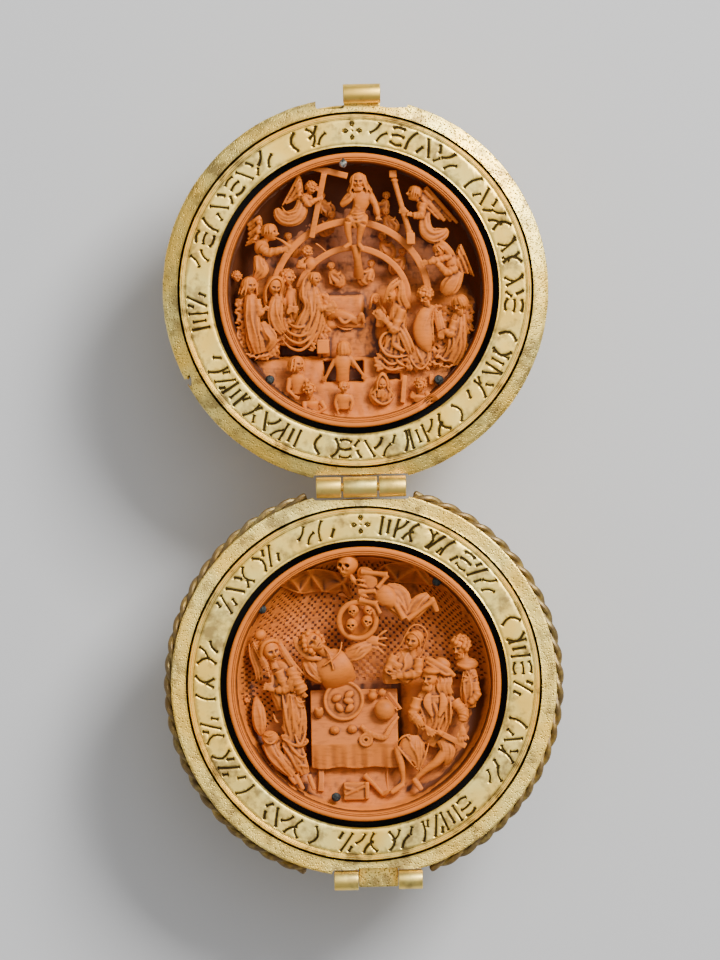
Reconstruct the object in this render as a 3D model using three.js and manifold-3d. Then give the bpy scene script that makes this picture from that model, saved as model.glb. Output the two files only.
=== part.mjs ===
// A boxwood prayer bead, lying open. Two silver-gilt half balls share one hinge, and each holds a
// roundel carved from boxwood: a judgement scene in the upper half, a banquet in the lower one.
//
// Millimetres, +Z up. The two domes stand on the small flats under them, with their carved faces
// up. The origin is on that surface, under the middle of the hinge. The hinge runs along X, the
// upper half lies towards +Y and the lower half towards -Y.

import * as THREE from 'three';
import { mergeVertices } from 'three/addons/utils/BufferGeometryUtils.js';
import Module from 'manifold-3d';

const wasm = await Module();
wasm.setup();

// The whole bead
const HALF_HEIGHT = 25;          // surface to parting plane, where the hinge axis lies
const FACE_DROP = 0.15;          // the metal faces stay this far under the parting plane
const FIT = 0.3;                 // gap left between pieces that touch
const FACETS = 28;               // sides of every round piece
const HALF_SPREAD = 28.55;       // hinge axis to the middle of each half

// Bowls
const DOME_RADIUS = 27;
const WALL = 0.9;
const FOOT_RADIUS = 5;
const FLANGE_RADIUS = 28;
const FLANGE_INNER = 25.85;
const INNER_FOOT = 4.6;
const FLANGE_THICK = 0.7;
const FLANGE_BEVEL = 0.6;        // how far the upper flange falls towards its edge

// Inscribed collars
const COLLAR_OUTER = 25.5;
const COLLAR_INNER = 20.8;
const COLLAR_THICK = 1.45;
const COLLAR_SINK = 0.25;        // the band lies this far below its raised border
const COLLAR_BORDER = 0.35;

// Rope border of the lower half
const ROPE_THICK = 1.7;
const ROPE_RADIUS = 28.2;
const ROPE_STRANDS = 23;         // strands seen along each length

// Boxwood roundels
const WOOD_BODY_RADIUS = 25.3;
const WOOD_SHOULDER = 1.9;       // the collar lies on this shoulder, below the parting plane
const ROUNDEL_RADIUS = 19.9;
const WOOD_FACE = 0.3;           // rim of the roundel, below the parting plane
const RECESS_RADIUS = 18;
const RECESS_DEPTH = 10;
const WOOD_FACETS = 20;
const HEAD = 1.15;               // half the width of a clothed figure's head
const SHOULDER = 1.3;
const CLOTH_RIDGES = 3;          // ridges round a hanging cloth, and how far it falls in between
const CLOTH_VALLEY = 0.72;

// Hinge and clasp
const HINGE_X = 0.2;
const HINGE_BARREL = 1.5;
const HINGE_BORE = 0.9;
const HINGE_PIN = 0.6;
const KNUCKLES = { left: [-6.5, -2.9], middle: [-2.6, 2.3], right: [2.6, 6.5] };
const CLASP_X = 1.5;
const CLASP_REACH = 28.4;        // middle of a half to its clasp barrel
const CLASP_BARREL = 1.4;
const CLASP_TAB = [-2.7, 2.7];
const CLASP_EARS = { left: [-6.4, -2.9], right: [2.9, 6.4] };
const LEAF_BACK = 1.25;          // outer face of a leaf, from its barrel's axis towards the dome
const LEAF_THICK = 0.8;
const LEAF_DROP = 4.6;

// Pins in the carvings: place in the roundel, depth of the head, radius
const PIN_RADIUS = 0.7;
const PIN_LENGTH = 6;
const UPPER_PINS = { left: [-12.7, -12.7], right: [11.8, -13.2] };
const NAIL_PLACE = [-1.4, 18.9];
const LOWER_PINS = { left: [-14.6, 11.1], right: [10.9, 14.6], foot: [-4.4, -16.4] };

// Colours
const finish = (color, roughness, metalness) =>
  new THREE.MeshStandardMaterial({ color, roughness, metalness, flatShading: true });
const GILT = finish(0xbfa768, 0.4, 1);
const GILT_DARK = finish(0x8f7a44, 0.5, 1);
const BOXWOOD = finish(0xb8683c, 0.6, 0);
const DARK_PIN = finish(0x3f4a3f, 0.6, 0.6);

// Solids from geometries, and back

function solidOf(geometry, matrix = new THREE.Matrix4()) {
  const plain = geometry.clone();
  plain.applyMatrix4(matrix);
  plain.deleteAttribute('normal');
  plain.deleteAttribute('uv');
  const merged = mergeVertices(plain, 1e-5);
  return new wasm.Manifold(new wasm.Mesh({
    numProp: 3,
    vertProperties: Float32Array.from(merged.attributes.position.array),
    triVerts: Uint32Array.from(merged.index.array),
  }));
}

function geometryOf(solid) {
  const mesh = solid.getMesh();
  const geometry = new THREE.BufferGeometry();
  geometry.setAttribute('position', new THREE.BufferAttribute(mesh.vertProperties, 3));
  geometry.setIndex(new THREE.BufferAttribute(mesh.triVerts, 1));
  geometry.computeVertexNormals();
  return geometry;
}

const joined = (solids) => wasm.Manifold.union(solids);
const vector = (place) => new THREE.Vector3(...place);
const moved = (place) => new THREE.Matrix4().makeTranslation(...place);

// A turned form about +Z from its profile of [radius, height] points.
function turned(profile, facets = FACETS) {
  const outline = profile.map(([radius, height]) => new THREE.Vector2(radius, height));
  return solidOf(new THREE.LatheGeometry(outline, facets),
    new THREE.Matrix4().makeRotationX(Math.PI / 2));
}

// A round bar along X.
function barAlongX(radius, [from, to], y, z, sides = 10) {
  const geometry = new THREE.CylinderGeometry(radius, radius, to - from, sides);
  const matrix = moved([(from + to) / 2, y, z]).multiply(
    new THREE.Matrix4().makeRotationZ(Math.PI / 2));
  return solidOf(geometry, matrix);
}

const box = ([x0, y0, z0], [x1, y1, z1]) => solidOf(
  new THREE.BoxGeometry(x1 - x0, y1 - y0, z1 - z0),
  moved([(x0 + x1) / 2, (y0 + y1) / 2, (z0 + z1) / 2]));

const spaced = (count, from, to) =>
  Array.from({ length: count }, (_, i) => from + ((to - from) * i) / (count - 1));

// Metalwork

// Points of the dome's quarter ellipse, from the foot's rim to the parting plane.
function domeArc(radius, foot, bottom, top, count) {
  const start = Math.asin(foot / radius);
  const depth = (top - bottom) / Math.cos(start);
  return spaced(count, start, Math.PI / 2).map((angle) =>
    [radius * Math.sin(angle), top - depth * Math.cos(angle)]);
}

function bowlSolid(bevel) {
  const face = HALF_HEIGHT - FACE_DROP;
  const edge = face - bevel;
  const under = edge - FLANGE_THICK;
  const outer = domeArc(DOME_RADIUS, FOOT_RADIUS, 0, under, 5);
  const inner = domeArc(FLANGE_INNER, INNER_FOOT, WALL, under - WALL, 4).reverse();
  return turned([
    [0, 0], ...outer,
    [FLANGE_RADIUS, under], [FLANGE_RADIUS, edge], [FLANGE_INNER, face],
    ...inner, [0, WALL],
  ]);
}

function collarSolid() {
  const border = HALF_HEIGHT - FACE_DROP;
  const band = border - COLLAR_SINK;
  const under = border - COLLAR_THICK;
  return turned([
    [COLLAR_INNER, under], [COLLAR_OUTER, under], [COLLAR_OUTER, border],
    [COLLAR_OUTER - COLLAR_BORDER, border], [COLLAR_OUTER - 2 * COLLAR_BORDER, band],
    [COLLAR_INNER, band], [COLLAR_INNER, under],
  ]);
}

// Two wires twisted together: a square bar, turned a quarter for each strand, bent round the bowl.
function ropeGeometry(start, sweep) {
  const half = ROPE_THICK / 2 / Math.SQRT2;
  const section = new THREE.Shape([
    new THREE.Vector2(-half, -half), new THREE.Vector2(half, -half),
    new THREE.Vector2(half, half), new THREE.Vector2(-half, half),
  ]);
  const geometry = new THREE.ExtrudeGeometry(section,
    { depth: 1, steps: ROPE_STRANDS * 2, bevelEnabled: false });
  const position = geometry.attributes.position;
  const height = HALF_HEIGHT - FACE_DROP - FLANGE_THICK - FIT - ROPE_THICK / 2;
  for (let i = 0; i < position.count; i += 1) {
    const along = position.getZ(i);
    const twist = (along * ROPE_STRANDS * Math.PI) / 2;
    const out = position.getX(i) * Math.cos(twist) - position.getY(i) * Math.sin(twist);
    const up = position.getX(i) * Math.sin(twist) + position.getY(i) * Math.cos(twist);
    const bearing = start + sweep * along;
    position.setXYZ(i, (ROPE_RADIUS + out) * Math.cos(bearing),
      (ROPE_RADIUS + out) * Math.sin(bearing), height - up);
  }
  return geometry;
}

// A barrel with the leaf that holds it to the dome; side is +1 where the dome lies towards +Y.
function knuckleSolid(span, y, radius, side, bore) {
  const leafA = y + side * LEAF_BACK;
  const leafB = y + side * (LEAF_BACK - LEAF_THICK);
  const leaf = box(
    [span[0], Math.min(leafA, leafB), HALF_HEIGHT - LEAF_DROP],
    [span[1], Math.max(leafA, leafB), HALF_HEIGHT - radius / 3]);
  const hole = barAlongX(bore, [span[0] - 1, span[1] + 1], y, HALF_HEIGHT, 6);
  return barAlongX(radius, span, y, HALF_HEIGHT).add(leaf).subtract(hole);
}

const shifted = ([from, to], by) => [from + by, to + by];

// The flange is cut away round a row of barrels, and behind it for their leaves.
function notch([from, to], y, radius) {
  const span = [from - FIT, to + FIT];
  const room = LEAF_BACK + FIT;
  return barAlongX(radius + FIT, span, y, HALF_HEIGHT).add(box(
    [span[0], y - room, HALF_HEIGHT - 1.6 * radius], [span[1], y + room, HALF_HEIGHT]));
}

function notched(bowl, outward) {
  const middleY = outward * HALF_SPREAD;
  const hinge = [KNUCKLES.left[0] + HINGE_X, KNUCKLES.right[1] + HINGE_X];
  const clasp = [CLASP_EARS.left[0] + CLASP_X, CLASP_EARS.right[1] + CLASP_X];
  return bowl.translate([0, middleY, 0])
    .subtract(notch(hinge, 0, HINGE_BARREL))
    .subtract(notch(clasp, middleY + outward * CLASP_REACH, CLASP_BARREL));
}

// Carving. Places are [x, y, depth]: x and y from the roundel's middle, and depth from the parting
// plane, negative into the wood.

// A tapered bar from one place to another; every second edge may stand out as a ridge.
function limb(from, to, fromRadius, toRadius, sides = 4, valley = 1) {
  const a = vector(from);
  const b = vector(to);
  const run = b.clone().sub(a);
  const geometry = new THREE.CylinderGeometry(toRadius, fromRadius, run.length(), sides);
  const position = geometry.attributes.position;
  for (let i = 0; i < position.count; i += 1) {
    const bearing = Math.atan2(position.getZ(i), position.getX(i));
    const edge = Math.round((bearing / Math.PI / 2) * sides);
    const reach = edge % 2 === 0 ? 1 : valley;
    position.setX(i, position.getX(i) * reach);
    position.setZ(i, position.getZ(i) * reach);
  }
  const turn = new THREE.Quaternion().setFromUnitVectors(
    new THREE.Vector3(0, 1, 0), run.normalize());
  const matrix = new THREE.Matrix4().compose(a.add(b).multiplyScalar(0.5), turn,
    new THREE.Vector3(1, 1, 1));
  return solidOf(geometry, matrix);
}

// A run of bars through a list of places, thinning from the first radius to the last.
function limbs(places, first, last, sides = 4) {
  const radius = (i) => first + ((last - first) * i) / (places.length - 1);
  return places.slice(1).map((place, i) =>
    limb(places[i], place, radius(i), radius(i + 1), sides));
}

const drape = (from, to, fromRadius, toRadius) =>
  limb(from, to, fromRadius, toRadius, CLOTH_RIDGES * 2, CLOTH_VALLEY);

// A rounded lump of twenty facets.
function lump(place, size) {
  const reach = typeof size === 'number' ? [size, size, size] : size;
  return solidOf(new THREE.IcosahedronGeometry(1),
    moved(place).multiply(new THREE.Matrix4().makeScale(...reach)));
}

// A point on the line from one place to another.
const between = (a, b, share) => a.map((value, i) => value + (b[i] - value) * share);

// A clothed figure: head, a robe that falls from the neck to the hem, and a bar to each hand. The
// smaller figures have plain robes.
function figure({ head, hem, spread, hands = [], plain = false }) {
  const length = vector(head).distanceTo(vector(hem));
  const neck = between(head, hem, (HEAD * 0.4) / length);
  const chest = between(head, hem, Math.min(0.4, 3 * HEAD / length));
  return [
    lump(head, [HEAD, HEAD * 1.15, HEAD]),
    plain ? limb(neck, hem, SHOULDER, spread, 5) : drape(neck, hem, SHOULDER, spread),
    ...hands.map((hand) => limb(chest, hand, 0.85, 0.6, 3)),
  ];
}

// A flat band round part of a circle, standing from one depth to another.
function archBand([x, y], inner, outer, [from, to], [low, high], steps = 7) {
  const ring = (radius, angles) => angles.map((angle) =>
    new THREE.Vector2(x + radius * Math.cos(angle), y + radius * Math.sin(angle)));
  const angles = spaced(steps, from, to);
  const shape = new THREE.Shape([...ring(outer, angles), ...ring(inner, angles.reverse())]);
  return solidOf(new THREE.ExtrudeGeometry(shape, { depth: high - low, bevelEnabled: false }),
    moved([0, 0, low]));
}

// Ground that runs along X, from its side view of [y, depth] points.
function ground(sideView, [left, right]) {
  const shape = new THREE.Shape(sideView.map(([y, depth]) => new THREE.Vector2(y, depth)));
  const geometry = new THREE.ExtrudeGeometry(shape, { depth: right - left, bevelEnabled: false });
  const axes = new THREE.Matrix4().makeBasis(
    new THREE.Vector3(0, 1, 0), new THREE.Vector3(0, 0, 1), new THREE.Vector3(1, 0, 0));
  return solidOf(geometry, moved([left, 0, 0]).multiply(axes));
}

// The turned block: half ball, shoulder, rim with two mouldings, and the empty recess.
function woodBlock() {
  const shoulder = HALF_HEIGHT - WOOD_SHOULDER;
  const rim = HALF_HEIGHT - WOOD_FACE;
  const bottom = WALL + FIT;
  const floor = HALF_HEIGHT - RECESS_DEPTH;
  const slim = WOOD_BODY_RADIUS / FLANGE_INNER;
  const back = domeArc(WOOD_BODY_RADIUS, INNER_FOOT * slim, bottom,
    HALF_HEIGHT - FACE_DROP - FLANGE_BEVEL - FLANGE_THICK - WALL, 4);
  return turned([
    [0, bottom], ...back,
    [WOOD_BODY_RADIUS, shoulder], [ROUNDEL_RADIUS, shoulder], [ROUNDEL_RADIUS, rim],
    [ROUNDEL_RADIUS - 0.9, rim], [ROUNDEL_RADIUS - 1.15, rim - 0.5],
    [RECESS_RADIUS, rim - 0.3], [RECESS_RADIUS - 0.6, rim - 4.5],
    [RECESS_RADIUS * 0.72, floor + 0.9], [0, floor],
  ], WOOD_FACETS);
}

// A carving is the block joined with its relief, which stays inside the recess, and then drilled
// for its pins.
function carve(relief, drills) {
  const reach = RECESS_RADIUS + 0.25;
  const low = -RECESS_DEPTH - 1.5;
  const high = -WOOD_FACE - 0.2;
  const space = turned([[0, low], [reach, low], [reach, high], [0, high]], WOOD_FACETS);
  const holes = drills.map(([x, y]) =>
    limb([x, y, low - 1], [x, y, 1], PIN_RADIUS + FIT, PIN_RADIUS + FIT, 8));
  return joined(relief).intersect(space).translate([0, 0, HALF_HEIGHT]).add(woodBlock())
    .subtract(joined(holes).translate([0, 0, HALF_HEIGHT]));
}

// Upper carving: the judge on two arches, angels round them, two groups kneeling, and the dead
// who rise in front.
function upperCarving() {
  const wall = -RECESS_DEPTH - 0.6;
  const tombs = joined([
    box([-4.9, -13.2, -7], [0.9, -10.2, 0]), box([-11.4, -9.8, -7.6], [-6.1, -8.5, 0]),
  ]);
  const floor = ground([
    [4, -11], [4, -8.6], [-5.4, -7.4], [-9.9, -6.2], [-9.9, -5.2], [-19, -3], [-19, -11],
  ], [-19, 19]).subtract(tombs);
  const banks = [
    ground([[4, -11], [3, -6.4], [-8.4, -4.4], [-8.4, -11]], [-18, -6.6]),
    ground([[2, -11], [1, -6.4], [-9.6, -4.2], [-9.6, -11]], [3.6, 18]),
  ];
  const arches = [
    archBand([-0.7, -0.9], 10.4, 11.5, [0.12, 2.94], [wall, -4.6]),
    archBand([-0.4, -1.1], 7, 8, [0.16, 2.98], [wall, -6]),
  ];
  const judge = [
    lump([0.8, 15.9, -2.4], [1.25, 1.5, 1.2]),
    limb([1.1, 14.8, -2.6], [0.5, 10, -3], 1.5, 1.4, 5),
    ...limbs([[0.2, 10.6, -3], [-1.2, 9.3, -2.2], [-1, 6.3, -3.4]], 0.9, 0.5),
    ...limbs([[1, 10.6, -3], [1.3, 9.4, -2.2], [0.5, 6.1, -3.4]], 0.9, 0.5),
    ...limbs([[0.6, 13.9, -2.6], [-1.9, 12.4, -2.4], [-0.8, 13.3, -1.6]], 0.6, 0.45),
    limb([2, 13.9, -2.6], [3.5, 10.6, -2.2], 0.7, 0.45),
    limb([-0.2, 5.6, -3.2], [-0.2, 7.4, wall], 1.2, 2.2),
  ];
  const instruments = [
    limb([-4.1, 16.8, -2.2], [-6.3, 8, -3.2], 0.5, 0.5),
    limb([-6.7, 17, -2.2], [-1.6, 16.9, -2.8], 0.5, 0.5),
    limb([5.6, 16.6, -2.4], [8.2, 6.9, -3], 0.6, 0.9, 5),
  ];
  const angels = [
    { head: [-6.3, 15, -2.8], hem: [-10.2, 10.2, wall], spread: 2.2, hands: [[-4.8, 13.7, -2.4]] },
    { head: [-12.1, 8.7, -2.8], hem: [-13.8, 3, wall], spread: 2.2, hands: [[-9.2, 5.8, -2.6]] },
    { head: [8.8, 13.8, -2.8], hem: [12, 8.6, wall], spread: 2.2, hands: [[6.3, 11.9, -2.3]] },
    { head: [12.2, 5.8, -2.8], hem: [14.2, 0.6, wall], spread: 2.2, hands: [[10, 3.9, -2.6]] },
  ];
  const wings = [
    limb([-7.9, 16.4, -4.4], [-11.4, 12, -5], 0.9, 0.5),
    limb([-14.6, 12, -4.6], [-15.2, 7, -5], 0.9, 0.5),
    limb([10.2, 15.2, -4.4], [13.4, 10, -5], 0.9, 0.5),
    limb([15, 7.4, -4.6], [16.8, 2, -5], 0.9, 0.5),
  ];
  const behind = [
    { head: [-3.6, 2.3, -6.2], hem: [-3.4, -1, wall], spread: 2 },
    { head: [2.2, 3, -6.2], hem: [2.4, -0.4, wall], spread: 2 },
  ];
  const leftGroup = [
    { head: [-15.5, 1.5, -2.8], hem: [-13.6, -8.3, -4], spread: 2.3, hands: [[-12.8, -1.4, -2]] },
    { head: [-11.7, 1, -2.8], hem: [-10.4, -7.6, -4], spread: 2.2, hands: [[-9.4, -2.2, -1.8]] },
    { head: [-9.2, 2.4, -4.6], hem: [-9, -4, -7], spread: 1.8 },
    { head: [-6.1, 2.1, -2.8], hem: [-7.9, -7.2, -4.2], spread: 2.7, hands: [[-4.4, -1.5, -2]] },
  ];
  const rightGroup = [
    { head: [6.2, -0.8, -2.8], hem: [5.4, -9.2, -4.2], spread: 2.8, hands: [[3.1, -3.3, -2]] },
    { head: [3, -1.2, -5], hem: [3.2, -5, -7.4], spread: 1.6 },
    { head: [10.8, -0.6, -2.6], hem: [9.9, -9.4, -4], spread: 2.7, hands: [[12.6, -5.2, -1.8]] },
    { head: [15.2, -1.9, -2.8], hem: [14.4, -9.4, -4], spread: 2.3 },
  ];
  const risen = [
    { head: [-8.9, -10.8, -2.2], hem: [-8.6, -14.4, -4.4], spread: 1.7 },
    { head: [-6.1, -14.4, -1.8], hem: [-6, -17.4, -3.8], spread: 1.7 },
    { head: [-2.2, -8.4, -3], hem: [-2.3, -12.6, -6], spread: 1.6,
      hands: [[-5.2, -11.8, -4.8], [1.2, -11.8, -4.8]] },
    { head: [-1.9, -13.9, -1.8], hem: [-1.9, -17.4, -3.8], spread: 1.7 },
    { head: [3.7, -13.4, -2], hem: [3.5, -17, -4], spread: 1.7 },
    { head: [8.9, -13.9, -2.2], hem: [8.4, -16.6, -4.2], spread: 1.6 },
    { head: [-3, -3.2, -6.8], hem: [0.4, -4.2, -7.6], spread: 1.3 },
  ];
  const plain = [...angels, ...behind, ...risen].map((small) => ({ ...small, plain: true }));
  const people = [...plain, ...leftGroup, ...rightGroup].flatMap(figure);
  return carve([floor, ...banks, ...arches, ...judge, ...instruments, ...people, ...wings],
    [...Object.values(UPPER_PINS), NAIL_PLACE]);
}

// Lower carving: a table with its guests, and a skeleton that flies in over them with a dish.
function lowerCarving() {
  const wall = -RECESS_DEPTH - 0.6;
  const floor = ground([[1, -11], [1, -8.8], [-12.4, -6], [-19, -3.4], [-19, -11]], [-19, 19]);
  const banks = [
    ground([[4, -11], [3, -7], [-10, -4.6], [-10, -11]], [-18, -9.6]),
    ground([[6, -11], [5, -7], [-10, -4.4], [-10, -11]], [5.6, 18]),
  ];
  const table = [
    ground([[-0.9, -11], [-0.9, -5.6], [-8.8, -3.4], [-12.3, -3.8], [-12.3, -11]], [-8, 4.9]),
    ...spaced(5, -7.2, 4.1).map((x) => limb([x, -8.9, -4], [x, -12.2, -4.2], 0.5, 0.9)),
    limb([-3.1, -2.3, -6.4], [-3.1, -2.9, -4.2], 2.4, 3, 9),
    lump([-4.2, -2.9, -4.1], [0.9, 1, 0.7]), lump([-2.4, -2.9, -4.1], [0.9, 1, 0.7]),
    lump([2.9, -3.8, -4], [1.5, 1.6, 1.4]), limb([-6.8, -4.2, -5.4], [-6.8, -4.4, -3.6], 0.6, 0.7),
    lump([-4.5, -6.7, -3.9], 0.65), lump([-2.1, -6.7, -3.9], 0.65),
    limb([-6.4, -12, -4.8], [-6.4, -15.6, -4.4], 0.7, 0.7),
    box([-3.2, -16.9, -6], [0.1, -14.3, -2.6]),
  ];
  const skeleton = [
    lump([-1.8, 17.2, -2.2], [1.3, 1.4, 1.2]),
    limb([-1.6, 16.6, -2.6], [2.6, 13, -2.8], 1, 1.4, 5),
    drape([2.2, 13.2, -3], [8, 11.6, -3], 1.5, 2),
    ...limbs([[0.6, 15.8, -2.8], [3.7, 15.7, -2.4], [2.3, 14, -1.6]], 0.5, 0.45),
    limb([0.2, 14.8, -2.6], [-0.2, 11, -2], 0.6, 0.5),
    ...limbs([[3.6, 12.4, -2.6], [6.3, 9, -2.2], [10, 11.8, -3], [11.2, 10.4, -2.8]], 0.85, 0.45),
    limb([3, 13.4, -3.4], [4, 13.4, wall], 1.4, 2.2),
    limb([-0.9, 9.2, -3.4], [-0.8, 9.1, -2], 2, 2.9, 9),
    lump([-1.6, 8.9, -2], 0.8), lump([0.1, 9.6, -2], 0.8),
    limb([-0.8, 9.4, -3], [-0.6, 9.6, wall], 1.4, 2.2),
  ];
  const cloak = [
    ...limbs([[-11.2, 14, -5.6], [-8.6, 15.2, -4.6], [-1, 15.4, -3.6]], 1, 0.8),
    limb([-6, 14.8, -4], [-6, 13.6, wall], 1.1, 2),
  ];
  const guests = [
    { head: [-13, 5.2, -2.6], hem: [-11.6, -5.4, -4], spread: 2.6,
      hands: [[-14.4, -0.6, -1.8], [-10.6, 0.2, -2]] },
    { head: [-7.4, 6.1, -2.8], hem: [-2.8, -1.8, -7], spread: 2.2, hands: [[-1.6, 5, -3.2]] },
    { head: [7.4, 6.2, -3.4], hem: [5.6, -2, -7], spread: 2.2, hands: [[5, 2.4, -2.4]] },
    { head: [14.3, 5.6, -3.4], hem: [14.6, -4.6, -6], spread: 2.4 },
    { head: [9.4, 0.5, -2.2], hem: [8.2, -11.8, -4.6], spread: 3,
      hands: [[9.7, -7.4, -1.5], [14.2, -7.6, -1.8]] },
  ];
  const details = [
    limb([-2.2, 5, -3.2], [2.4, 5.8, -3], 0.75, 0.6),
    drape([-12, -3, -3.4], [-9.2, -14.6, -4.2], 1.9, 2.7),
    limb([-16, -1.6, -5.2], [-15.4, -8.4, -5.2], 0.9, 0.9), lump([-14, -7.6, -4.2], 1.4),
    lump([10.7, 1.4, -2.6], [2.1, 1.8, 1.4]), lump([12.2, -0.9, -2.8], [1.1, 1.6, 1.1]),
    ...limbs([[5.8, -8, -3.2], [4.5, -9.6, -2.4], [5.2, -13.8, -3.6], [3.2, -16.3, -3.4]], 1.1, 0.7),
    ...limbs([[12, -9.4, -2.6], [7.6, -14.4, -3.8], [8.2, -16, -3.6]], 1.1, 0.7),
  ];
  return carve([floor, ...banks, ...table, ...skeleton, ...cloak, ...guests.flatMap(figure),
    ...details], Object.values(LOWER_PINS));
}

// Assembly

const bead = new THREE.Group();

function place(parent, name, solid, material) {
  const geometry = solid instanceof THREE.BufferGeometry ? solid : geometryOf(solid);
  const mesh = new THREE.Mesh(geometry, material);
  mesh.name = name;
  parent.add(mesh);
  return mesh;
}

// A pin that stands in its hole, widest at the head.
function pin(parent, name, [x, y], top) {
  const shank = limb([x, y, top - PIN_LENGTH], [x, y, top], PIN_RADIUS * 0.6, PIN_RADIUS, 8);
  place(parent, name, shank.translate([0, 0, HALF_HEIGHT]), DARK_PIN);
}

const upper = new THREE.Group();
upper.position.y = HALF_SPREAD;
const lower = new THREE.Group();
lower.position.y = -HALF_SPREAD;
bead.add(upper, lower);

place(bead, 'upper_bowl', notched(bowlSolid(FLANGE_BEVEL), 1), GILT);
place(bead, 'lower_bowl', notched(bowlSolid(0), -1), GILT);
place(upper, 'upper_collar', collarSolid(), GILT);
place(lower, 'lower_collar', collarSolid(), GILT);
place(upper, 'upper_roundel', upperCarving(), BOXWOOD);
place(lower, 'lower_roundel', lowerCarving(), BOXWOOD);

// The rope stops either side of the hinge and of the clasp.
const hingeHalfAngle = Math.asin((KNUCKLES.right[1] + HINGE_X + 1) / ROPE_RADIUS);
const claspHalfAngle = Math.asin((CLASP_EARS.right[1] + CLASP_X + 1) / ROPE_RADIUS);
const ropeSweep = Math.PI - hingeHalfAngle - claspHalfAngle;
place(lower, 'rope_border_left',
  ropeGeometry(Math.PI / 2 + hingeHalfAngle, ropeSweep), GILT_DARK);
place(lower, 'rope_border_right',
  ropeGeometry(-Math.PI / 2 + claspHalfAngle, ropeSweep), GILT_DARK);

for (const [side, span] of Object.entries(KNUCKLES)) {
  const dome = side === 'middle' ? 1 : -1;
  place(bead, `hinge_knuckle_${side}`,
    knuckleSolid(shifted(span, HINGE_X), 0, HINGE_BARREL, dome, HINGE_BORE), GILT);
}
place(bead, 'hinge_pin',
  barAlongX(HINGE_PIN, shifted([KNUCKLES.left[0], KNUCKLES.right[1]], HINGE_X), 0, HALF_HEIGHT, 8),
  GILT_DARK);

const claspY = HALF_SPREAD + CLASP_REACH;
for (const [side, span] of Object.entries(CLASP_EARS)) {
  place(bead, `clasp_knuckle_${side}`,
    knuckleSolid(shifted(span, CLASP_X), -claspY, CLASP_BARREL, 1, CLASP_BARREL / 2), GILT);
}
place(bead, 'clasp_tab',
  knuckleSolid(shifted(CLASP_TAB, CLASP_X), claspY, CLASP_BARREL, -1, CLASP_BARREL / 2), GILT);

pin(upper, 'upper_stud_left', UPPER_PINS.left, -2.2);
pin(upper, 'upper_stud_right', UPPER_PINS.right, -2.2);
pin(upper, 'upper_nail', NAIL_PLACE, -0.2);
pin(lower, 'lower_pin_left', LOWER_PINS.left, -2.2);
pin(lower, 'lower_pin_right', LOWER_PINS.right, -2);
pin(lower, 'lower_pin_foot', LOWER_PINS.foot, -2.6);

export default bead;
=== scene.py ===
"""A boxwood prayer bead lying open: two carved roundels in hinged silver-gilt half balls.

Forms are made in millimetres round the middle of their half, with depth counted from the parting
plane and negative into the wood. They are put in their place, in metres, when they are finished.
"""

import math
import random

import bmesh
import bpy
import numpy as np
from bpy.props import FloatProperty, FloatVectorProperty, IntProperty, PointerProperty
from mathutils import Matrix, Vector, noise


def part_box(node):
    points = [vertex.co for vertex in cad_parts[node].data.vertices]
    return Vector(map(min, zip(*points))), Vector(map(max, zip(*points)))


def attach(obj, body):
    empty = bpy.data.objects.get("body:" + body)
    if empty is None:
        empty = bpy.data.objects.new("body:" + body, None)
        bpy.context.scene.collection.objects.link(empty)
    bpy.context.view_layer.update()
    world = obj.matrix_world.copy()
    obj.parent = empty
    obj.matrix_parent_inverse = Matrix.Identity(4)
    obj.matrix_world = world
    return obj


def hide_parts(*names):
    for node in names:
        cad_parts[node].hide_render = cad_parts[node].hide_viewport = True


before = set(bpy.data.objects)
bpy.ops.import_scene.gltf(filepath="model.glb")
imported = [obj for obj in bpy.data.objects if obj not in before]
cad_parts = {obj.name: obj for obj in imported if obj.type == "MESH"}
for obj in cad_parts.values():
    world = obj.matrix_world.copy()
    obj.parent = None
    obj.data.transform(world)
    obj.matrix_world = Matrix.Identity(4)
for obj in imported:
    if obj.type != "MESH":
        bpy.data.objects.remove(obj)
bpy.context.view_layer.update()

bl_info = {
    "name": "Boxwood Prayer Bead",
    "version": (1, 0, 0),
    "blender": (4, 5, 0),
    "location": "View3D > Sidebar > Prayer Bead",
    "description": "Carved boxwood roundels in hinged silver-gilt half balls",
    "category": "Add Mesh",
}

# Measures taken from the frame

MM = 0.001
TURN = 2 * math.pi


def middle_of(node):
    """The middle of a node's box, in millimetres."""
    low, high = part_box(node)
    return (low + high) / 2 / MM


def size_of(node):
    """The size of a node's box, in millimetres."""
    low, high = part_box(node)
    return (high - low) / MM


PARTING = middle_of("hinge_pin").z
UPPER = middle_of("upper_collar").xy
LOWER = middle_of("lower_collar").xy
AXIS = Vector((0, 0))
COLLAR_OUTER = size_of("upper_collar").x / 2
FLANGE_RADIUS = size_of("lower_bowl").x / 2
DOME_RADIUS = FLANGE_RADIUS - 1
FLOOR_DEPTH = -PARTING

# Other sizes of the bead, in millimetres

FACE_DROP = 0.15
WALL = 0.9
FOOT_RADIUS = 5
FLANGE_INNER = 25.85
FLANGE_THICK = 0.7
FLANGE_BEVEL = 0.6
COLLAR_INNER = 20.8
COLLAR_THICK = 1.45
WOOD_BODY_RADIUS = 25.3
WOOD_SHOULDER = 1.9
ROUNDEL_RADIUS = 19.9
RECESS_DEPTH = 10
LOWER_RECESS = 8.6
GROUND_RADIUS = 18.5
GROUND_BACK = -10.2
GROOVE_DEPTH = -6
ROPE_RADIUS = 28.2
ROPE_DEPTH = -1.95
ROPE_HALF = 0.86
HINGE_GAP = 7.7
CLASP_GAP = 8.9
BARREL = 1.5
CLASP_BARREL = 1.4
CLASP_Y = 56.95
LEAF_FOOT = -4.6
TEAR = (-24.4, -12.7, -0.6)
RELIEF_RADIUS = 18.65
RELIEF_TOP = -0.4


# What a user would change


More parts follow.
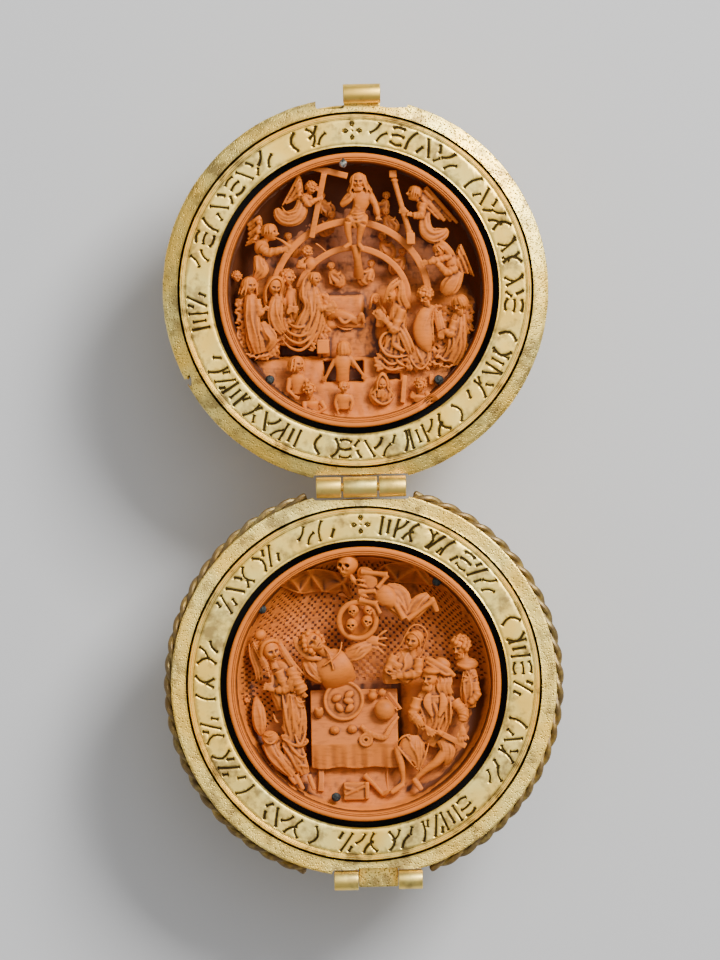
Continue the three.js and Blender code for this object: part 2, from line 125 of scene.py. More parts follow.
def length(name, description, millimetres):
    """A length that a user may change."""
    return FloatProperty(name=name, description=description, default=millimetres * MM, min=0,
                         unit="LENGTH")


def colour(name, description, *value):
    """A colour that a user may change, in linear light."""
    return FloatVectorProperty(name=name, description=description, default=value, subtype="COLOR",
                               min=0, max=1)


class BeadSizes(bpy.types.PropertyGroup):
    """Sizes of the fine work."""

    stroke_width: length("Stroke width", "Width of an engraved stroke on the collars", 0.46)
    stroke_depth: length("Stroke depth", "Depth of an engraved stroke on the collars", 0.2)
    rope_strand: length("Rope strand", "Thickness of one of the two twisted wires", 0.98)
    rope_turns: FloatProperty(name="Rope turns", description="Full twists along each length of rope",
                              default=12.0, min=1)
    dot_spacing: length("Dot spacing", "Distance between punched dots behind the banquet", 0.74)
    knife_grain: length("Knife grain", "Smallest detail that the carving keeps", 0.105)
    carving_share: FloatProperty(name="Faces kept", default=0.5, min=0.05, max=1, subtype="FACTOR",
                                 description="Share of a carving's faces kept after it is fused")
    round_steps: IntProperty(name="Round steps", default=360, min=24,
                             description="Sides of the turned bowls and roundels")


class BeadColours(bpy.types.PropertyGroup):
    """Colours of the materials."""

    wood_near: colour("Near wood", "Boxwood on the foremost figures", 0.55, 0.142, 0.014)
    # The deep colour is painted shade: the same boxwood, darker and redder where less light reaches the
    # bottom of the recess.
    wood_shaded_deep: colour("Deep wood", "Boxwood at the bottom of the recess", 0.38, 0.125, 0.05)
    # The fold colour stands for old wax and dust together with the painted shade that falls in the folds.
    wood_dirt_and_shade: colour("Wood dirt", "Old wax and dust in the folds", 0.085, 0.022, 0.007)
    gilt: colour("Gilt", "Clean silver-gilt", 1.0, 0.63, 0.1)
    gilt_worn: colour("Worn gilt", "Silver showing through the gilding", 1.0, 0.78, 0.22)
    tarnish: colour("Tarnish", "Brown tarnish in the hollows of the metal", 0.085, 0.045, 0.02)
    pin: colour("Pin", "Grey-green corroded metal", 0.022, 0.027, 0.024)
    floor: colour("Floor", "Pale floor", 0.56, 0.56, 0.56)


def sizes():
    """The sizes in the scene, in metres."""
    return bpy.context.scene.bead_sizes


def colours():
    """The colours in the scene."""
    return bpy.context.scene.bead_colours


# Shader maths as expressions


class Value:
    """A shader socket that takes part in arithmetic."""

    def __init__(self, paint, socket):
        self.paint = paint
        self.socket = socket

    def __add__(self, other):
        return self.paint.sum("ADD", self, other)

    def __sub__(self, other):
        return self.paint.sum("SUBTRACT", self, other)

    def __rsub__(self, other):
        return self.paint.sum("SUBTRACT", other, self)

    def __mul__(self, other):
        return self.paint.sum("MULTIPLY", self, other)

    __radd__ = __add__
    __rmul__ = __mul__


class Paint:
    """A material and the nodes in it."""

    def __init__(self, name):
        self.material = bpy.data.materials.new(name)
        self.material.use_nodes = True
        self.tree = self.material.node_tree
        self.shader = self.tree.nodes["Principled BSDF"]
        self.place = Value(self, self.node("ShaderNodeTexCoord").outputs["Object"])

    def node(self, kind, settings=None, **sockets):
        """A new node: its settings first, then the values or links of its sockets."""
        node = self.tree.nodes.new(kind)
        for key, value in (settings or {}).items():
            if key == "stops":
                self.set_stops(node.color_ramp, value)
            else:
                setattr(node, key, value)
        for key, value in sockets.items():
            self.feed(node.inputs[key.replace("_", " ")], value)
        return node

    @staticmethod
    def set_stops(ramp, stops):
        """Puts a colour ramp's stops at their places."""
        while len(ramp.elements) < len(stops):
            ramp.elements.new(1)
        for element, (position, grey) in zip(ramp.elements, stops):
            element.position = position
            element.color = (grey, grey, grey, 1)

    def feed(self, socket, value):
        """Links or sets one socket."""
        if isinstance(value, Value):
            self.tree.links.new(value.socket, socket)
        else:
            socket.default_value = value

    def sum(self, operation, first, second):
        """One Math node."""
        node = self.node("ShaderNodeMath", {"operation": operation})
        self.feed(node.inputs[0], first)
        self.feed(node.inputs[1], second)
        return Value(self, node.outputs[0])

    def noise(self, scale, detail, stretch=(1, 1, 1)):
        """Noise of a scale counted per metre, from about 0.3 to 0.7."""
        place = self.node("ShaderNodeMapping", Vector=self.place, Scale=stretch).outputs[0]
        node = self.node("ShaderNodeTexNoise", Vector=Value(self, place), Scale=scale,
                         Detail=detail, Roughness=0.55)
        return Value(self, node.outputs["Fac"])

    def cells(self, scale):
        """Distance to the nearest of many scattered points."""
        node = self.node("ShaderNodeTexVoronoi", Vector=self.place, Scale=scale)
        return Value(self, node.outputs["Distance"])

    def ramp(self, value, *stops):
        """The value through a ramp of (position, grey) stops."""
        node = self.node("ShaderNodeValToRGB", {"stops": stops}, Fac=value)
        return Value(self, node.outputs["Color"])

    def mix(self, share, first, second):
        """The first colour turning into the second."""
        node = self.node("ShaderNodeMix", {"data_type": "RGBA", "clamp_factor": True})
        ends = [v if isinstance(v, Value) else (*v, 1) for v in (first, second)]
        self.feed(node.inputs[0], share)
        self.feed(node.inputs[6], ends[0])
        self.feed(node.inputs[7], ends[1])
        return Value(self, node.outputs[2])

    def attribute(self, name):
        """A value kept on the mesh."""
        return Value(self, self.node("ShaderNodeAttribute", {"attribute_name": name}).outputs["Fac"])

    def height(self):
        """Height above the floor, in metres."""
        return Value(self, self.node("ShaderNodeSeparateXYZ", Vector=self.place).outputs["Z"])

    def bump(self, height, distance, strength=1.0):
        """Sends a height to the shader's normal; the distance is in metres."""
        node = self.node("ShaderNodeBump", Height=height, Distance=distance, Strength=strength)
        self.feed(self.shader.inputs["Normal"], Value(self, node.outputs[0]))

    def finish(self, **sockets):
        """Sets the shader's own sockets."""
        for key, value in sockets.items():
            if isinstance(value, tuple):
                value = (*value, 1)
            self.feed(self.shader.inputs[key.replace("_", " ")], value)
        return self.material


def boxwood(name):
    """Old polished boxwood: warm orange-brown, darker and redder in the depth by painted shade, and
    browner in the folds by dust, old wax and painted shade.
    """
    paint = Paint(name)
    c = colours()
    hollow = paint.attribute("hollow")
    depth = (PARTING * MM - paint.height()) * (1 / (RECESS_DEPTH * MM))
    clouds = paint.noise(210, 3)
    grain = paint.noise(1500, 4, (0.35, 1.6, 1.0))
    pores = paint.noise(9000, 2)
    # Painted shade: the deeper the wood lies in the recess, the more it turns to the darker, redder deep
    # colour.
    far = paint.ramp(depth + 0.25 * (clouds - 0.5), (0.1, 0), (0.66, 0.22), (0.98, 1))
    colour = paint.mix(far, tuple(c.wood_near), tuple(c.wood_shaded_deep))
    pale = paint.ramp(clouds + 0.6 * (grain - 0.5), (0.45, 0), (0.75, 0.45))
    colour = paint.mix(pale, colour, tuple(1.2 * v for v in c.wood_near))
    fibre = paint.ramp(grain, (0.38, 0.34), (0.5, 0.0))
    colour = paint.mix(fibre, colour, tuple(0.5 * v for v in c.wood_near))
    # Folds and hollows are darkened: partly dust and old wax, partly painted shade.
    hollow_dark = paint.ramp(hollow + 0.35 * (clouds - 0.5), (0.02, 0), (0.42, 0.97))
    colour = paint.mix(hollow_dark, colour, tuple(c.wood_dirt_and_shade))
    # Painted shadow: where the mark passes 1, in the deep groove round the roundel, the wood is painted
    # almost black.
    colour = paint.mix(paint.ramp(hollow - 1.0, (0.02, 0), (0.3, 1)), colour, (0.003, 0.002, 0.002))
    # Raised edges are painted lighter: partly wear, partly painted highlight.
    edge = paint.ramp(0 - hollow, (0.1, 0), (0.7, 0.55))
    colour = paint.mix(edge, colour, tuple(min(1.0, 1.45 * v) for v in c.wood_near))
    paint.bump(0.6 * grain + 0.4 * pores, 0.05 * MM, 0.55)
    return paint.finish(Base_Color=colour, Roughness=0.4 + 0.3 * clouds, Specular_IOR_Level=0.2)


def gilt(name, stipple=0.0, dirty=0.3, lined=False):
    """Old silver-gilt: pale gold, brown in its hollows, finely scratched, and stippled or engraved."""
    paint = Paint(name)
    c = colours()
    hollow = paint.attribute("hollow")
    clouds = paint.noise(130, 4)
    spots = paint.noise(1100, 3)
    scratches = paint.noise(2600, 2, (0.12, 1.0, 1.0)) + paint.noise(2400, 2, (1.0, 0.1, 1.0))
    colour = paint.mix(paint.ramp(clouds, (0.38, 0), (0.66, 1)), tuple(c.gilt), tuple(c.gilt_worn))
    blots = paint.noise(430, 4)
    stain = paint.ramp(blots + 0.5 * (clouds - 0.5) + 0.3 * (spots - 0.5), (0.5, 0), (0.7, dirty))
    colour = paint.mix(stain, colour, tuple(2.2 * v for v in c.tarnish))
    height = 0.25 * scratches + 0.5 * spots
    rough = 0.3 + 0.12 * scratches
    if stipple:
        pits = paint.cells(3300)
        crumbs = paint.noise(5200, 2)
        mark = paint.ramp(pits + 0.6 * (crumbs - 0.5), (0.1, 1), (0.42, 0))
        colour = paint.mix(mark * stipple, colour, tuple(c.tarnish))
        height = height - 1.1 * mark
        rough = rough + 0.12 * mark
    if lined:
        ink = paint.attribute("ink")
        cut = paint.ramp(ink + 0.5 * (spots - 0.5), (0.2, 0), (0.5, 0.96))
        colour = paint.mix(cut, colour, tuple(0.35 * v for v in c.tarnish))
        rough = rough + 0.25 * cut
    hollow_dark = paint.ramp(hollow + 0.5 * (spots - 0.5), (0.08, 0), (0.6, 0.9))
    colour = paint.mix(hollow_dark, colour, tuple(c.tarnish))
    paint.bump(height, 0.045 * MM, 0.8 if stipple else 0.35)
    return paint.finish(Base_Color=colour, Metallic=1.0 - 0.55 * hollow_dark, Roughness=rough)


def corroded(name):
    """Grey-green corroded metal of the pins."""
    paint = Paint(name)
    c = colours()
    spots = paint.noise(2600, 3)
    colour = paint.mix(paint.ramp(spots, (0.35, 0), (0.7, 1)), tuple(0.5 * v for v in c.pin),
                       tuple(1.7 * v for v in c.pin))
    paint.bump(spots, 0.12 * MM, 0.9)
    return paint.finish(Base_Color=colour, Metallic=0.35, Roughness=0.45 + 0.3 * spots)


def silver(name):
    """Tarnished silver of the nail's head."""
    paint = Paint(name)
    spots = paint.noise(2200, 3)
    colour = paint.mix(paint.ramp(spots, (0.42, 0), (0.62, 1)), (0.62, 0.6, 0.54), (0.13, 0.12, 0.09))
    paint.bump(spots, 0.05 * MM, 0.6)
    return paint.finish(Base_Color=colour, Metallic=0.9, Roughness=0.25 + 0.4 * spots)


def floor_paint(name):
    """Matt pale paper with the faintest cloud."""
    paint = Paint(name)
    clouds = paint.noise(9, 2)
    pale = tuple(colours().floor)
    colour = paint.mix(clouds, tuple(0.97 * v for v in pale), pale)
    return paint.finish(Base_Color=colour, Roughness=0.95, Specular_IOR_Level=0.1)


def material(maker, name, *settings):
    """A material by its name, made the first time that it is asked for."""
    return bpy.data.materials.get(name) or maker(name, *settings)


# Finished pieces


def mesh_of(form, name):
    """A mesh from a bmesh, which is freed."""
    mesh = bpy.data.meshes.new(name)
    form.to_mesh(mesh)
    form.free()
    return mesh


def absorb(form, other):
    """Adds another form to a form, and frees the other."""
    mesh = mesh_of(other, "absorbed")
    form.from_mesh(mesh)
    bpy.data.meshes.remove(mesh)


def new_piece(name, form, middle, finish, body, slot, *replaced, sharp=35, hollows=None):
    """Puts a form in its place as a finished piece that rides on a body."""
    mesh = form if isinstance(form, bpy.types.Mesh) else mesh_of(form, name)
    mesh.name = name
    if hollows:
        mark_hollows(mesh, *hollows)
    mesh.transform(Matrix.Scale(MM, 4) @ Matrix.Translation((middle.x, middle.y, PARTING)))
    mesh.materials.clear()
    mesh.materials.append(finish)
    mesh.shade_smooth()
    mesh.set_sharp_from_angle(angle=math.radians(sharp))
    piece = bpy.data.objects.new(name, mesh)
    bpy.context.scene.collection.objects.link(piece)
    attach(piece, body)
    if replaced:
        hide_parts(*replaced)


def evaluated(form, name, *modifiers):
    """The form's mesh after a row of modifiers, each a type and its settings."""
    thing = bpy.data.objects.new(name, mesh_of(form, name))
    bpy.context.scene.collection.objects.link(thing)
    for kind, settings in modifiers:
        modifier = thing.modifiers.new(kind.lower(), kind)
        for key, value in settings.items():
            setattr(modifier, key, value)
    graph = bpy.context.evaluated_depsgraph_get()
    mesh = bpy.data.meshes.new_from_object(thing.evaluated_get(graph))
    bpy.data.objects.remove(thing)
    return mesh


def mark_hollows(mesh, near, wide, full):
    """Keeps on each vertex how far it lies in a hollow, from -1 on an edge to 1 in a fold."""
    count = len(mesh.vertices)
    places = np.zeros(count * 3)
    mesh.vertices.foreach_get("co", places)
    places = places.reshape(-1, 3)
    normals = np.zeros(count * 3)
    mesh.vertices.foreach_get("normal", normals)
    normals = normals.reshape(-1, 3)
    pairs = np.zeros(len(mesh.edges) * 2, np.int64)
    mesh.edges.foreach_get("vertices", pairs)
    first, second = pairs.reshape(-1, 2).T
    neighbours = np.maximum(np.bincount(np.concatenate((first, second)), minlength=count), 1)
    smooth = places.copy()
    hollow = np.zeros(count)
    for step in range(1, wide + 1):
        total = np.stack([
            np.bincount(first, smooth[second, axis], count)
            + np.bincount(second, smooth[first, axis], count) for axis in range(3)], 1)
        smooth = 0.4 * smooth + 0.6 * total / neighbours[:, None]
        if step in (near, wide):
            reach = full * (1.0 if step == near else 3.2)
            hollow += 0.5 * np.clip(((smooth - places) * normals).sum(1) / reach, -1, 1)
    attribute = mesh.attributes.new("hollow", "FLOAT", "POINT")
    attribute.data.foreach_set("value", hollow.astype(np.float32))


def spun(profile, steps):
    """A form turned about the depth axis from an outline of (radius, depth) points."""
    sectors = 10
    sector = bmesh.new()
    ring = [sector.verts.new((radius, 0, depth)) for radius, depth in profile]
    pairs = list(zip(ring, ring[1:]))
    if profile[0][0] > 0:
        pairs.append((ring[-1], ring[0]))
    edges = [sector.edges.new(pair) for pair in pairs]
    bmesh.ops.spin(sector, geom=ring + edges, cent=(0, 0, 0), axis=(0, 0, 1),
                   angle=TURN / sectors, steps=steps // sectors)
    bmesh.ops.remove_doubles(sector, verts=sector.verts, dist=1e-4)
    mesh = mesh_of(sector, "sector")
    form = bmesh.new()
    for _ in range(sectors):
        form.from_mesh(mesh)
        mesh.transform(Matrix.Rotation(TURN / sectors, 4, "Z"))
    bpy.data.meshes.remove(mesh)
    bmesh.ops.remove_doubles(form, verts=form.verts, dist=1e-4)
    bmesh.ops.recalc_face_normals(form, faces=form.faces)
    return form


def spread(count, first, last):
    """Numbers evenly spread from the first to the last."""
    return [first + (last - first) * i / (count - 1) for i in range(count)]


def dome_arc(radius, foot, bottom, top, count):
    """Points of a dome's quarter ellipse, from the foot's rim to the top."""
    start = math.asin(foot / radius)
    depth = (top - bottom) / math.cos(start)
    return [(radius * math.sin(a), top - depth * math.cos(a)) for a in spread(count, start, math.pi / 2)]


def cut_away(form, name, cutters):
    """The form's mesh with each of the cutters taken out of it."""
    knives = []
    for cutter in cutters:
        bmesh.ops.recalc_face_normals(cutter, faces=cutter.faces)
        knife = bpy.data.objects.new(name + "_knife", mesh_of(cutter, name + "_knife"))
        bpy.context.scene.collection.objects.link(knife)
        knives.append(knife)
    mesh = evaluated(form, name, *(("BOOLEAN", {"object": knife, "solver": "EXACT"}) for knife in knives))
    for knife in knives:
        bpy.data.objects.remove(knife)
    return mesh


# Metalwork


def bowl_form(bevel, seed):
    """A half ball raised from sheet, with a flange that falls towards its edge."""
    face = -FACE_DROP
    edge = face - bevel
    under = edge - FLANGE_THICK
    steps = sizes().round_steps
    rim = [(FLANGE_RADIUS, edge - 0.18), (FLANGE_RADIUS - 0.06, edge - 0.05), (FLANGE_RADIUS - 0.2, edge)]
    top = [(r, edge + (face - edge) * (FLANGE_RADIUS - r) / (FLANGE_RADIUS - FLANGE_INNER))
           for r in spread(9, FLANGE_RADIUS - 0.35, FLANGE_INNER)]
    profile = [(0, FLOOR_DEPTH), *dome_arc(DOME_RADIUS, FOOT_RADIUS, FLOOR_DEPTH, under, 26),
               (FLANGE_RADIUS - 0.25, under), (FLANGE_RADIUS, under + 0.15), *rim, *top,
               *reversed(dome_arc(FLANGE_INNER, FOOT_RADIUS - 0.4, FLOOR_DEPTH + WALL,
                                  under - WALL, 12)), (0, FLOOR_DEPTH + WALL)]
    form = spun(profile, steps)
    for vertex in form.verts:
        radius = vertex.co.xy.length
        if vertex.co.z > under - 0.01 and radius > FLANGE_INNER + 0.05:
            wobble = noise.noise(vertex.co * 0.35 + Vector((seed, 0, 0)))
            fine = noise.noise(vertex.co * 2.4 + Vector((0, seed, 0)))
            vertex.co.z += 0.04 * wobble + 0.03 * fine - 0.04
            vertex.co.xy *= 1 + (0.05 * wobble + 0.04 * fine - 0.06) / radius
        elif radius > FOOT_RADIUS:
            vertex.co *= 1 - 0.0012 * (1 + noise.noise(vertex.co * 0.16 + Vector((seed, 5, 0))))
    return form


def rounded_box(form, low, high, edge, segments=3):
    """Adds a box with rounded edges to a form."""
    size = Vector(high) - Vector(low)
    place = Matrix.Translation((Vector(low) + Vector(high)) / 2) @ Matrix.Diagonal((*size, 1))
    made = bmesh.ops.create_cube(form, size=1, matrix=place)["verts"]
    edges = list({e for v in made for e in v.link_edges})
    bmesh.ops.bevel(form, geom=edges, offset=edge, offset_type="OFFSET", affect="EDGES",
                    segments=segments, profile=0.5, material=-1)


def notch_form(left, right, y, radius):
    """Room for barrels and their leaves in a bowl's flange."""
    form = bmesh.new()
    rounded_box(form, (left, y - radius, -2.6), (right, y + radius, 1.5), 0.4)
    return form


def tear_form():
    """A ragged hole."""
    form = bmesh.new()
    middle = Vector(TEAR)
    for vertex in bmesh.ops.create_icosphere(form, subdivisions=3, radius=1)["verts"]:
        ragged = 1 + 0.5 * noise.noise(vertex.co * 1.7)
        vertex.co = middle + Vector((0.55 * vertex.co.x, 0.75 * vertex.co.y, 1.3 * vertex.co.z)) * ragged
    return form


class MakeBowls(bpy.types.Operator):
    """Make the two silver-gilt half balls with their stippled flanges."""

    bl_idname = "bead.make_bowls"
    bl_label = "Bowls"

    def execute(self, context):
        finish = material(gilt, "gilt_stippled", 0.8, 0.65)
        reach = CLASP_Y - UPPER.y
        # Room for the hinge and the clasp: left, right, middle and half width of each notch.
        cuts = {
            "upper": [(-6.75, 7.15, -UPPER.y, 1.85), (-5.2, -1.1, reach, 2.1),
                      (4.1, 8.2, reach, 2.1), (-1.5, 4.5, reach + 0.25, 1.3)],
            "lower": [(-6.75, 7.15, -LOWER.y, 1.85), (-5.2, -1.1, -reach, 1.52),
                      (4.1, 8.2, -reach, 1.52), (-1.5, 4.5, -reach, 1.75)],
        }
        for half, middle, bevel, seed in (("upper", UPPER, FLANGE_BEVEL, 3), ("lower", LOWER, 0, 8)):
            cutters = [notch_form(*cut) for cut in cuts[half]]
            if half == "upper":
                cutters.append(tear_form())
            mesh = cut_away(bowl_form(bevel, seed), half + "_half_ball", cutters)
            if half == "lower":
                # A plate closes the gap between the clasp's knuckles.
                plated = bmesh.new()
                plated.from_mesh(mesh)
                rounded_box(plated, (-1.35, -reach - 1.1, -3.0), (4.35, -reach + 2.6, -2.0), 0.2)
                mesh = mesh_of(plated, "plated")
            new_piece(half + "_half_ball", mesh, middle, finish, half + "_half", "gilt",
                      half + "_bowl", hollows=(4, 36, 0.12))
        return {"FINISHED"}


# Inscribed collars: rows of short strokes in place of the words. A mark is a list of strokes, each
# of two ends and a bow, in shares of the letter height; the strokes never meet.

MARKS = (
    (((0.0, 0.05), (0.22, 0.95), 0.1), ((0.48, 0.1), (0.62, 0.42), 0.0)),
    (((0.1, 0.95), (0.02, 0.08), -0.28), ((0.58, 0.92), (0.66, 0.05), 0.28)),
    (((0.0, 0.9), (0.3, 0.12), 0.0), ((0.5, 0.9), (0.62, 0.6), 0.05),
     ((0.72, 0.35), (0.56, 0.1), 0.05)),
    (((0.05, 0.1), (0.08, 0.92), 0.0), ((0.34, 0.2), (0.36, 0.8), 0.0),
     ((0.62, 0.06), (0.68, 0.94), 0.0)),
    (((0.0, 0.45), (0.34, 0.94), -0.12), ((0.3, 0.08), (0.64, 0.52), 0.12)),
    (((0.06, 0.06), (0.44, 0.94), 0.0), ((0.06, 0.7), (0.14, 0.92), 0.0),
     ((0.46, 0.08), (0.56, 0.36), 0.0)),
    (((0.02, 0.16), (0.46, 0.12), -0.14), ((0.04, 0.5), (0.48, 0.52), 0.08),
     ((0.04, 0.86), (0.44, 0.9), 0.12)),
)

# Where the words stood: first and last bearing clockwise from the top, and how many marks.
UPPER_WORDS = ((6, 41, 5), (47.5, 100, 8), (107.5, 135, 4), (141, 195, 8), (202, 246, 7),
               (256, 271, 2), (279, 330, 7), (339, 350, 2))
LOWER_WORDS = ((7, 56, 8), (67.5, 96, 4), (104, 129.5, 4), (138, 191, 8), (199, 220, 3),
               (227.5, 260, 4), (264.5, 287.5, 3), (297.5, 329, 4), (336, 351, 2))
LETTER_LOW = 21.55
LETTER_HIGH = 24.55
LETTER_MIDDLE = (LETTER_LOW + LETTER_HIGH) / 2
MARK_STRETCH = 1.25


def word_strokes(words, seed):
    """The strokes of all the words: ends as (distance round the collar, radius), and a half width."""
    draw = random.Random(seed)
    tall = LETTER_HIGH - LETTER_LOW
    strokes = []
    last = None
    for start, end, count in words:
        for i in range(count):
            mark = draw.choice([m for m in MARKS if m is not last])
            last = mark
            wide = MARK_STRETCH * max(x for stroke in mark for x, _ in stroke[:2])
            centre = start + (end - start) * (i + 0.5) / count
            left = math.radians(centre) * LETTER_MIDDLE - 0.5 * wide * tall
            for (x0, y0), (x1, y1), bow in mark:
                ends = [Vector((left + MARK_STRETCH * x * tall, LETTER_LOW + y * tall))
                        for x, y in ((x0, y0), (x1, y1))]
                across = (ends[1] - ends[0]).orthogonal() * bow
                path = [ends[0].lerp(ends[1], t) + across * math.sin(math.pi * t)
                        for t in spread(5, 0, 1)]
                heavy = draw.uniform(0.75, 1.15)
                strokes += [(a, b, heavy) for a, b in zip(path, path[1:])]
                for foot, toward in ((path[0], path[1]), (path[-1], path[-2])):
                    serif = (toward - foot).orthogonal().normalized() * 0.2
                    strokes.append((foot - serif, foot + serif, 0.45))
    return strokes


def ornament_strokes():
    """A small four-petalled flower with a dot in its middle, at the top of a collar."""
    centre = Vector((0, LETTER_MIDDLE + 0.05))
    strokes = [(centre, centre + Vector((0.02, 0.02)), 0.7)]
    for quarter in range(4):
        turn = Matrix.Rotation(quarter * TURN / 4, 2)
        for side in (-1, 1):
            petal = [Vector((0.62, 0)), Vector((0.95, side * 0.27)), Vector((1.3, side * 0.1))]
            points = [centre + turn @ p for p in petal]
            strokes += [(a, b, 0.5) for a, b in zip(points, points[1:])]
        strokes.append((centre + turn @ Vector((0.95, 0)), centre + turn @ Vector((1.02, 0)), 0.6))
    return strokes


def stroke_depths(places, strokes, width):
    """How deep each place lies in a stroke, from 0 to 1. Places are (bearing distance, radius)."""
    depth = np.zeros(len(places))
    around = TURN * LETTER_MIDDLE
    for first, last, heavy in strokes:
        half = 0.5 * width * heavy
        run = np.array(last - first)
        offset = places - np.array(first)
        offset[:, 0] = (offset[:, 0] + around / 2) % around - around / 2
        near = np.abs(offset[:, 0]) < 3
        share = np.clip(offset[near] @ run / max(run @ run, 1e-9), 0, 1)
        away = np.linalg.norm(offset[near] - share[:, None] * run, axis=1)
        depth[near] = np.maximum(depth[near], np.clip(1.25 * (1 - away / half), 0, 1))
    return depth


def collar_mesh(name, words, seed):
    """A flat ring with a raised border, two fine turned lines and the engraved strokes."""
    border = -FACE_DROP
    band = border - 0.2
    under = border - COLLAR_THICK
    inner = COLLAR_INNER + 0.1
    band_points = [(r, band) for r in spread(42, COLLAR_INNER + 0.28, 24.83)]
    profile = [(inner, under), (COLLAR_OUTER, under),
               (COLLAR_OUTER, border - 0.1), (COLLAR_OUTER - 0.1, border),
               (COLLAR_OUTER - 0.22, border), (COLLAR_OUTER - 0.3, border - 0.12),
               (COLLAR_OUTER - 0.38, border), (COLLAR_OUTER - 0.5, border), (COLLAR_OUTER - 0.6, band)]
    profile += [*reversed(band_points), (COLLAR_INNER + 0.06, band - 0.03), (COLLAR_INNER, band - 0.18)]
    form = spun(profile, 1180)
    mesh = mesh_of(form, name)
    count = len(mesh.vertices)
    places = np.zeros(count * 3)
    mesh.vertices.foreach_get("co", places)
    places = places.reshape(-1, 3)
    radius = np.hypot(places[:, 0], places[:, 1])
    bearing = np.arctan2(places[:, 0], places[:, 1]) % TURN
    top = places[:, 2] > band - 0.02
    flat = np.stack([bearing[top] * LETTER_MIDDLE, radius[top]], 1)
    depth = np.zeros(count)
    width = sizes().stroke_width / MM
    depth[top] = stroke_depths(flat, word_strokes(words, seed) + ornament_strokes(), width)
    line = np.clip(1 - np.abs(radius - 24.7) / 0.09, 0, 1) * top
    inner_line = np.clip(1 - np.abs(radius - 21.12) / 0.07, 0, 1) * top
    ink = np.maximum(depth, 0.7 * np.maximum(line, inner_line))
    wander = np.array([noise.noise(Vector(p) * 0.22 + Vector((seed, 0, 0))) for p in places])
    places[:, 2] += top * (0.05 * wander - 0.05) - ink * sizes().stroke_depth / MM
    mesh.vertices.foreach_set("co", places.reshape(-1))
    attribute = mesh.attributes.new("ink", "FLOAT", "POINT")
    attribute.data.foreach_set("value", ink.astype(np.float32))
    mesh.update()
    form = bmesh.new()
    form.from_mesh(mesh)
    return evaluated(form, name, ("DECIMATE", {"ratio": 0.42}))


class MakeCollars(bpy.types.Operator):
    """Make the two inscribed rings, with strokes that aren't letters."""

    bl_idname = "bead.make_collars"
    bl_label = "Collars"

    def execute(self, context):
        finish = material(gilt, "gilt_engraved", 0.0, 0.7, True)
        for half, middle, words, seed in (("upper", UPPER, UPPER_WORDS, 5),
                                          ("lower", LOWER, LOWER_WORDS, 11)):
            name = half + "_inscribed_collar"
            mesh = collar_mesh(name, words, seed)
            new_piece(name, mesh, middle, finish, half + "_half", "gilt_band", half + "_collar")
        return {"FINISHED"}


# Tubes and balls, the clay of every other piece


def ball_template(fineness):
    """A unit ball kept for copying."""
    name = f"ball_{fineness}"
    if name not in bpy.data.meshes:
        form = bmesh.new()
        bmesh.ops.create_icosphere(form, subdivisions=fineness, radius=1)
        mesh_of(form, name)
    return bpy.data.meshes[name]


def tube_template(sides, rings):
    """A unit tube from z = 0 to z = 1, kept for copying."""
    name = f"tube_{sides}_{rings}"
    if name not in bpy.data.meshes:
        form = bmesh.new()
        bmesh.ops.create_cone(form, cap_ends=True, segments=sides, radius1=1, radius2=1, depth=1,
                              matrix=Matrix.Translation((0, 0, 0.5)))
        upright = [e for e in form.edges if abs(e.verts[0].co.z - e.verts[1].co.z) > 0.5]
        bmesh.ops.subdivide_edges(form, edges=upright, cuts=rings - 1, use_grid_fill=False)
        mesh_of(form, name)
    return bpy.data.meshes[name]


def along(values, share):
    """The value at a share of the way along a list, on a smooth curve through all of them."""
    last = len(values) - 1
    place = min(max(share, 0.0), 1.0) * last
    i = min(int(place), last - 1)
    t = place - i
    a, b, c, d = (values[min(max(j, 0), last)] for j in (i - 1, i, i + 1, i + 2))
    return 0.5 * (b * 2 + (c - a) * t + (a * 2 - b * 5 + c * 4 - d) * (t * t)
                  + (b * 3 - c * 3 + d - a) * (t * t * t))


def frame_at(places, share):
    """The middle of a smooth path at a share of its length, its side and its front."""
    ahead = (along(places, share + 0.01) - along(places, share - 0.01)).normalized()
    upright = Vector((0, 0, 1)) if abs(ahead.z) < 0.92 else Vector((0, 1, 0))
    side = ahead.cross(upright).normalized()
    return along(places, share), side, side.cross(ahead)


def rounded_ends(part):
    """A cross-section rule that rounds both ends of a tube over a part of its length."""
    def cross(share, bearing):
        near = min(share, 1 - share) / part
        return math.sqrt(max(0.0, 1 - (1 - near) ** 2)) if near < 1 else 1.0
    return cross


def squared(share, bearing):
    """A cross-section rule that gives a tube four flat sides."""
    return 1 / max(abs(math.cos(bearing)), abs(math.sin(bearing)), 0.7072)


